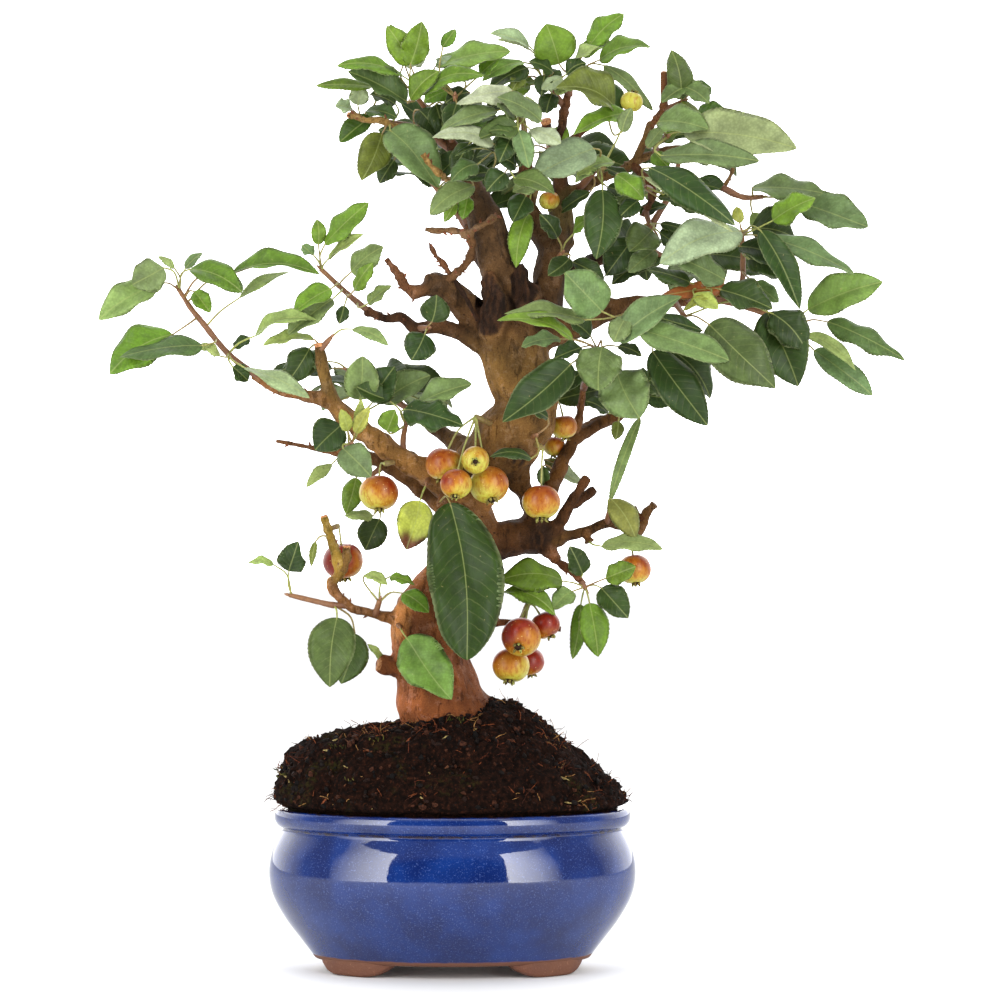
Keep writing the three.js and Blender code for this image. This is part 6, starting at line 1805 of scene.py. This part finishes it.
def spotted_tone():
    """A yellowing leaf with a brown tip."""
    yellow = np.array(linear(178, 186, 74))
    brown = np.array(linear(96, 46, 26))

    def tone(s, t):
        """The brown starts at a wavy line across the blade."""
        share = (1 / (1 + np.exp(-(s - 0.72 - 0.06 * np.sin(5 * t)) * 40)))[:, None]
        return yellow * (1 - share) + brown * share

    return tone, yellow


def build_leaf(bm, row, stem, rng, special=None):
    foot, tip, width, tilt, kind = row
    leaf = Leaf(foot, tip, width, tilt, kind, rng)
    tone, base = special or leaf_tone(kind, rng)
    under = mix(LEAF_UNDERSIDE, base, 0.35)
    build_blade(bm, leaf, tone, under)
    build_stalk(bm, leaf, stem, rng)


def build_stem(bm, stem, rng):
    """A shoot's stem, thinner and greener towards its end, swollen here and there, with a bud."""
    line = smooth_line([(*p, STEM_RADIUS) for p in stem], 7)
    shares = np.linspace(0, 1, len(line))
    swelling = np.array([rough(p, 3.5, rng.random()) for p in line])
    line[:, 3] = (STEM_RADIUS - STEM_THINNING * shares) * (1 + STEM_SWELLING * swelling)
    tube(bm, line, 8, STEM_TONES, material=1)
    way = Vector(unit(line[-1, :3] - line[-3, :3]))
    end = Vector(line[-1, :3])
    bud = [(*end, 0.95), (*(end + way * 1.6), 1.0), (*(end + way * 3.2), 0.15)]
    tube(bm, bud, 6, (STEM_TONES[1], linear(150, 110, 80)), material=1)


def node_tree(name):
    """The corners of a node of the frame, to search in."""
    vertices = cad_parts[name].data.vertices
    tree = kdtree.KDTree(len(vertices))
    for i, vertex in enumerate(vertices):
        tree.insert(vertex.co, i)
    tree.balance()
    return tree


def tried_depth(attempt):
    """The depths to try, in turn behind and in front: 0, 3, -3, 6, -6 and so on."""
    return DEPTH_STEP * math.ceil(attempt / 2) * (1 if attempt % 2 else -1)


def settled_depth(tree, tip):
    """How far behind its own place the frame's leaf stands: the depth where its tip is found."""
    for attempt in range(DEPTH_TRIES + 1):
        depth = tried_depth(attempt)
        _, _, away = tree.find(TO_FRAME @ Vector((tip[0], tip[1] + depth, tip[2])))
        if away < FOUND:
            return depth
    return 0


def lean(forward, stem, leaves):
    """A shoot with its stem leant out from the limb, and its leaves carried along."""
    last = len(stem) - 1
    stem = [(x, y - forward * i / last, z) for i, (x, y, z) in enumerate(stem)]
    leaves = [((a, b - forward, c), (d, e - forward, f), *rest) for a, b, c, d, e, f, *rest in leaves]
    return stem, leaves


def build_shoot(name, stem, leaves, materials, seed):
    rng = random.Random(seed)
    bm = bmesh.new()
    build_stem(bm, stem, rng)
    tree = node_tree(name)
    for foot, tip, width, tilt, kind in leaves:
        depth = settled_depth(tree, tip)
        foot = (foot[0], foot[1] + FOOT_FOLLOWS * depth, foot[2])
        tip = (tip[0], tip[1] + depth, tip[2])
        special = spotted_tone() if name == "shoot_yellow_leaf" else None
        build_leaf(bm, (foot, tip, width, tilt, kind), stem, rng, special)
    piece = to_object(bm, name + "_fine", materials)
    settle(piece, "leaf", name)


def wobble(seed):
    """A share from 0 to 1 that looks random but always comes from the same seed."""
    value = math.sin(seed * 12.9898) * 43758.5453
    return value - math.floor(value)


def back_leaves(stem, length, droop, side, seed, count):
    """Leaves around a stem that stands free: alternate, turned by the golden angle, facing up."""
    curve = smooth_line(stem, 20)
    rows = []
    for i in range(count):
        share = BACK_LEAVES_FROM + (1 - BACK_LEAVES_FROM) * (i % BACK_LEAVES + 1) / BACK_LEAVES
        share -= BACK_EXTRA_LOWER * (i >= BACK_LEAVES)
        turn = GOLDEN_ANGLE * i + seed
        start = curve[int(share * (len(curve) - 1))]
        across = side * abs(math.cos(turn)) if side else math.cos(turn)
        out = unit(np.array((across, 0.35 + 0.75 * math.sin(turn), 0.25)))
        size = length * (BACK_SIZES[0] + BACK_SIZES[1] * wobble(seed * 17 + i))
        foot = start + out * BACK_STALK
        tip = foot + out * size - np.array((0, 0, size * droop))
        rows.append((tuple(foot), tuple(tip), size * BACK_WIDTH_RATIO, 20 - 50 * math.sin(turn), "dark"))
    return rows


# ---------------------------------------------------------------- settings, operators and panel


def colour_property(name, description, colour):
    return FloatVectorProperty(
        name=name, description=description, subtype="COLOR", size=3, default=colour, min=0, max=1)


def length_property(name, description, length, low, high):
    return FloatProperty(
        name=name, description=description, subtype="DISTANCE", unit="LENGTH", default=length, min=low,
        max=high)


class BonsaiSettings(bpy.types.PropertyGroup):
    """Sizes and colours of the bonsai that a user would change."""

    glaze_colour: colour_property("Glaze", "Deep colour of the glaze", linear(5, 26, 80))
    glaze_light: colour_property("Thin glaze", "Colour of the glaze where it is thinner", linear(16, 52, 122))
    glaze_speck: colour_property("Glaze specks", "Colour of the fine specks in it", linear(96, 122, 190))
    clay_colour: colour_property("Clay", "Colour of the bare clay at the feet", linear(106, 64, 42))
    soil_colour: colour_property("Soil", "Dark colour of the moist soil", linear(14, 7, 5))
    soil_light: colour_property("Dry soil", "Colour of the soil where it is dry", linear(38, 20, 13))
    floor_colour: colour_property("Floor", "Colour of the floor", (0.82, 0.82, 0.82))
    lens: FloatProperty(
        name="Lens", description="Focal length of the camera", subtype="DISTANCE_CAMERA",
        default=132, min=20, max=300)
    distance: length_property("Distance", "From the camera to the pot's middle", 2.2, 0.5, 10)
    eye_height: length_property("Eye height", "Height of the camera", 0.2815, 0, 2)
    eye_aside: length_property(
        "Eye aside", "How far the camera stands to the right of the pot's middle", 0.0285, -1, 1)
    seed: IntProperty(
        name="Seed", description="Start of the random draws of fruit and leaves", default=40, min=0, max=9999)


class BONSAI_OT_stage(bpy.types.Operator):
    """Set up the camera, the pale floor and the soft lights"""

    bl_idname = "bonsai.stage"
    bl_label = "Stage"

    def execute(self, context):
        settings = context.scene.bonsai
        build_camera(settings)
        build_floor(settings)
        build_lights()
        return {"FINISHED"}


class BONSAI_OT_pot(bpy.types.Operator):
    """Build the glazed pot with its feet and finish the drain screens"""

    bl_idname = "bonsai.pot"
    bl_label = "Pot"

    def execute(self, context):
        build_pot(context.scene.bonsai)
        return {"FINISHED"}


class BONSAI_OT_soil(bpy.types.Operator):
    """Build the mound of soil with its fibres, chips and moss"""

    bl_idname = "bonsai.soil"
    bl_label = "Soil"

    def execute(self, context):
        build_soil(context.scene.bonsai)
        return {"FINISHED"}


class BONSAI_OT_trunk(bpy.types.Operator):
    """Build the trunk, its limbs, twigs, buds and cut stubs"""

    bl_idname = "bonsai.trunk"
    bl_label = "Trunk"

    def execute(self, context):
        build_trunk()
        return {"FINISHED"}


class BONSAI_OT_fruit(bpy.types.Operator):
    """Build the bunches of fruit"""

    bl_idname = "bonsai.fruit"
    bl_label = "Fruit"

    def execute(self, context):
        materials = [fruit_material(), shoot_material(), litter_material()]
        for i, (name, (stem, *fruits)) in enumerate(BUNCHES.items()):
            build_bunch(name, stem, fruits, materials, context.scene.bonsai.seed + i)
        return {"FINISHED"}


class BONSAI_OT_shoots(bpy.types.Operator):
    """Build the leafy shoots of the front and the crown"""

    bl_idname = "bonsai.shoots"
    bl_label = "Shoots"

    def execute(self, context):
        materials = [leaf_material(), shoot_material()]
        for i, (name, (forward, stem, *leaves)) in enumerate(SHOOTS.items()):
            shoot = lean(forward, stem, leaves)
            build_shoot(name, *shoot, materials, context.scene.bonsai.seed + SHOOT_SEEDS + i)
        return {"FINISHED"}


class BONSAI_OT_back_shoots(bpy.types.Operator):
    """Build the leafy shoots at the back"""

    bl_idname = "bonsai.back_shoots"
    bl_label = "Back shoots"

    def execute(self, context):
        materials = [bpy.data.materials["leaf_blade"], bpy.data.materials["green_shoot"]]
        for i, (name, (stem, *habit)) in enumerate(BACK_SHOOTS.items()):
            leaves = back_leaves(stem, *habit, i + 1, BACK_LEAVES + BACK_EXTRA_LEAVES)
            build_shoot(name, stem, leaves, materials, context.scene.bonsai.seed + BACK_SEEDS + i)
        return {"FINISHED"}


class BONSAI_PT_panel(bpy.types.Panel):
    """The bonsai's settings and the operators that build it"""

    bl_idname = "BONSAI_PT_panel"
    bl_label = "Crabapple Bonsai"
    bl_space_type = "VIEW_3D"
    bl_region_type = "UI"
    bl_category = "Bonsai"

    def draw(self, context):
        for operator in OPERATORS:
            self.layout.operator(operator.bl_idname)
        for name in BonsaiSettings.__annotations__:
            self.layout.prop(context.scene.bonsai, name)


OPERATORS = (
    BONSAI_OT_stage, BONSAI_OT_pot, BONSAI_OT_soil, BONSAI_OT_trunk, BONSAI_OT_fruit, BONSAI_OT_shoots,
    BONSAI_OT_back_shoots,
)
CLASSES = (BonsaiSettings, *OPERATORS, BONSAI_PT_panel)


# ---------------------------------------------------------------- stage


def build_camera(settings):
    camera = bpy.data.objects.new("camera", bpy.data.cameras.new("camera"))
    camera.data.lens = settings.lens
    camera.data.sensor_width = FILM_WIDTH
    camera.data.clip_end = CAMERA_REACH
    camera.location = (
        POT_MIDDLE.x + settings.eye_aside, POT_MIDDLE.y - settings.distance, settings.eye_height)
    camera.rotation_euler = (math.radians(90), 0, 0)
    bpy.context.scene.collection.objects.link(camera)
    bpy.context.scene.camera = camera
    bpy.context.scene.view_settings.view_transform = "Standard"


def build_floor(settings):
    """A large pale floor."""
    bm = bmesh.new()
    bmesh.ops.create_grid(bm, x_segments=FLOOR_CELLS, y_segments=FLOOR_CELLS, size=FLOOR_REACH)
    mesh = bpy.data.meshes.new("floor")
    bm.to_mesh(mesh)
    bm.free()
    floor = bpy.data.objects.new("floor", mesh)
    mesh.materials.append(paper_material("floor_paper", settings.floor_colour))
    bpy.context.scene.collection.objects.link(floor)


def build_light(name, place, aim, size, power):
    light = bpy.data.lights.new(name, "AREA")
    light.shape = "RECTANGLE"
    light.size, light.size_y = size
    light.energy = power
    lamp = bpy.data.objects.new(name, light)
    lamp.location = place
    lamp.rotation_euler = (Vector(aim) - Vector(place)).to_track_quat("-Z", "Y").to_euler()
    lamp.visible_camera = False
    bpy.context.scene.collection.objects.link(lamp)
    return light


def fade_light(light, bright_side):
    """Makes a soft box brightest along one upright edge and fading towards the other."""
    light.use_nodes = True
    tree = light.node_tree
    place = tree.nodes.new("ShaderNodeNewGeometry")
    split = tree.nodes.new("ShaderNodeSeparateXYZ")
    fade = tree.nodes.new("ShaderNodeMapRange")
    tree.links.new(place.outputs["Parametric"], split.inputs["Vector"])
    tree.links.new(split.outputs["X"], fade.inputs["Value"])
    ends = SOFTBOX_FADE if bright_side < 0 else SOFTBOX_FADE[::-1]
    fade.inputs["To Min"].default_value, fade.inputs["To Max"].default_value = ends
    tree.links.new(fade.outputs["Result"], tree.nodes["Emission"].inputs["Strength"])


def build_world():
    """An even surround, white behind the tree, pale at its sides and dim around the camera."""
    world = bpy.data.worlds.new("studio")
    world.use_nodes = True
    tree = world.node_tree
    way = tree.nodes.new("ShaderNodeSeparateXYZ")
    tree.links.new(tree.nodes.new("ShaderNodeTexCoord").outputs["Generated"], way.inputs["Vector"])
    share = tree.nodes.new("ShaderNodeMapRange")
    share.inputs["From Min"].default_value = -1
    tree.links.new(way.outputs["Y"], share.inputs["Value"])
    ramp = tree.nodes.new("ShaderNodeValToRGB")
    tree.links.new(share.outputs["Result"], ramp.inputs["Fac"])
    stops = ramp.color_ramp.elements
    stops[-1].position = WORLD_STOPS[-1][0]
    for at, _ in WORLD_STOPS[1:-1]:
        stops.new(at)
    for stop, (_, level) in zip(stops, WORLD_STOPS):
        stop.color = (level, level, level, 1)
    tree.links.new(ramp.outputs["Color"], tree.nodes["Background"].inputs["Color"])
    bpy.context.scene.world = world


def build_lights():
    """Two upright soft boxes beside the camera and one above."""
    build_world()
    for side, angle, width in SOFTBOXES:
        turn = math.radians(angle)
        across = POT_MIDDLE.x + side * SOFTBOX_DISTANCE * math.sin(turn)
        place = (across, -SOFTBOX_DISTANCE * math.cos(turn), SOFTBOX_MIDDLE)
        aim = (POT_MIDDLE.x, 0, SOFTBOX_MIDDLE)
        box = build_light("softbox", place, aim, (width, SOFTBOX_HEIGHT), SOFTBOX_POWER)
        fade_light(box, -side)
    build_light("softbox_top", TOP_BOX_PLACE, TOP_BOX_AIM, TOP_BOX_SIZE, TOP_BOX_POWER)


def register():
    for cls in CLASSES:
        bpy.utils.register_class(cls)
    bpy.types.Scene.bonsai = PointerProperty(type=BonsaiSettings)


def unregister():
    del bpy.types.Scene.bonsai
    for cls in reversed(CLASSES):
        bpy.utils.unregister_class(cls)


def corners(box):
    return [list(corner) for corner in box]


def main():
    register()
    bpy.ops.bonsai.stage()
    bpy.ops.bonsai.pot()
    bpy.ops.bonsai.soil()
    bpy.ops.bonsai.trunk()
    bpy.ops.bonsai.fruit()
    bpy.ops.bonsai.shoots()
    bpy.ops.bonsai.back_shoots()


if __name__ == "__main__":
    main()
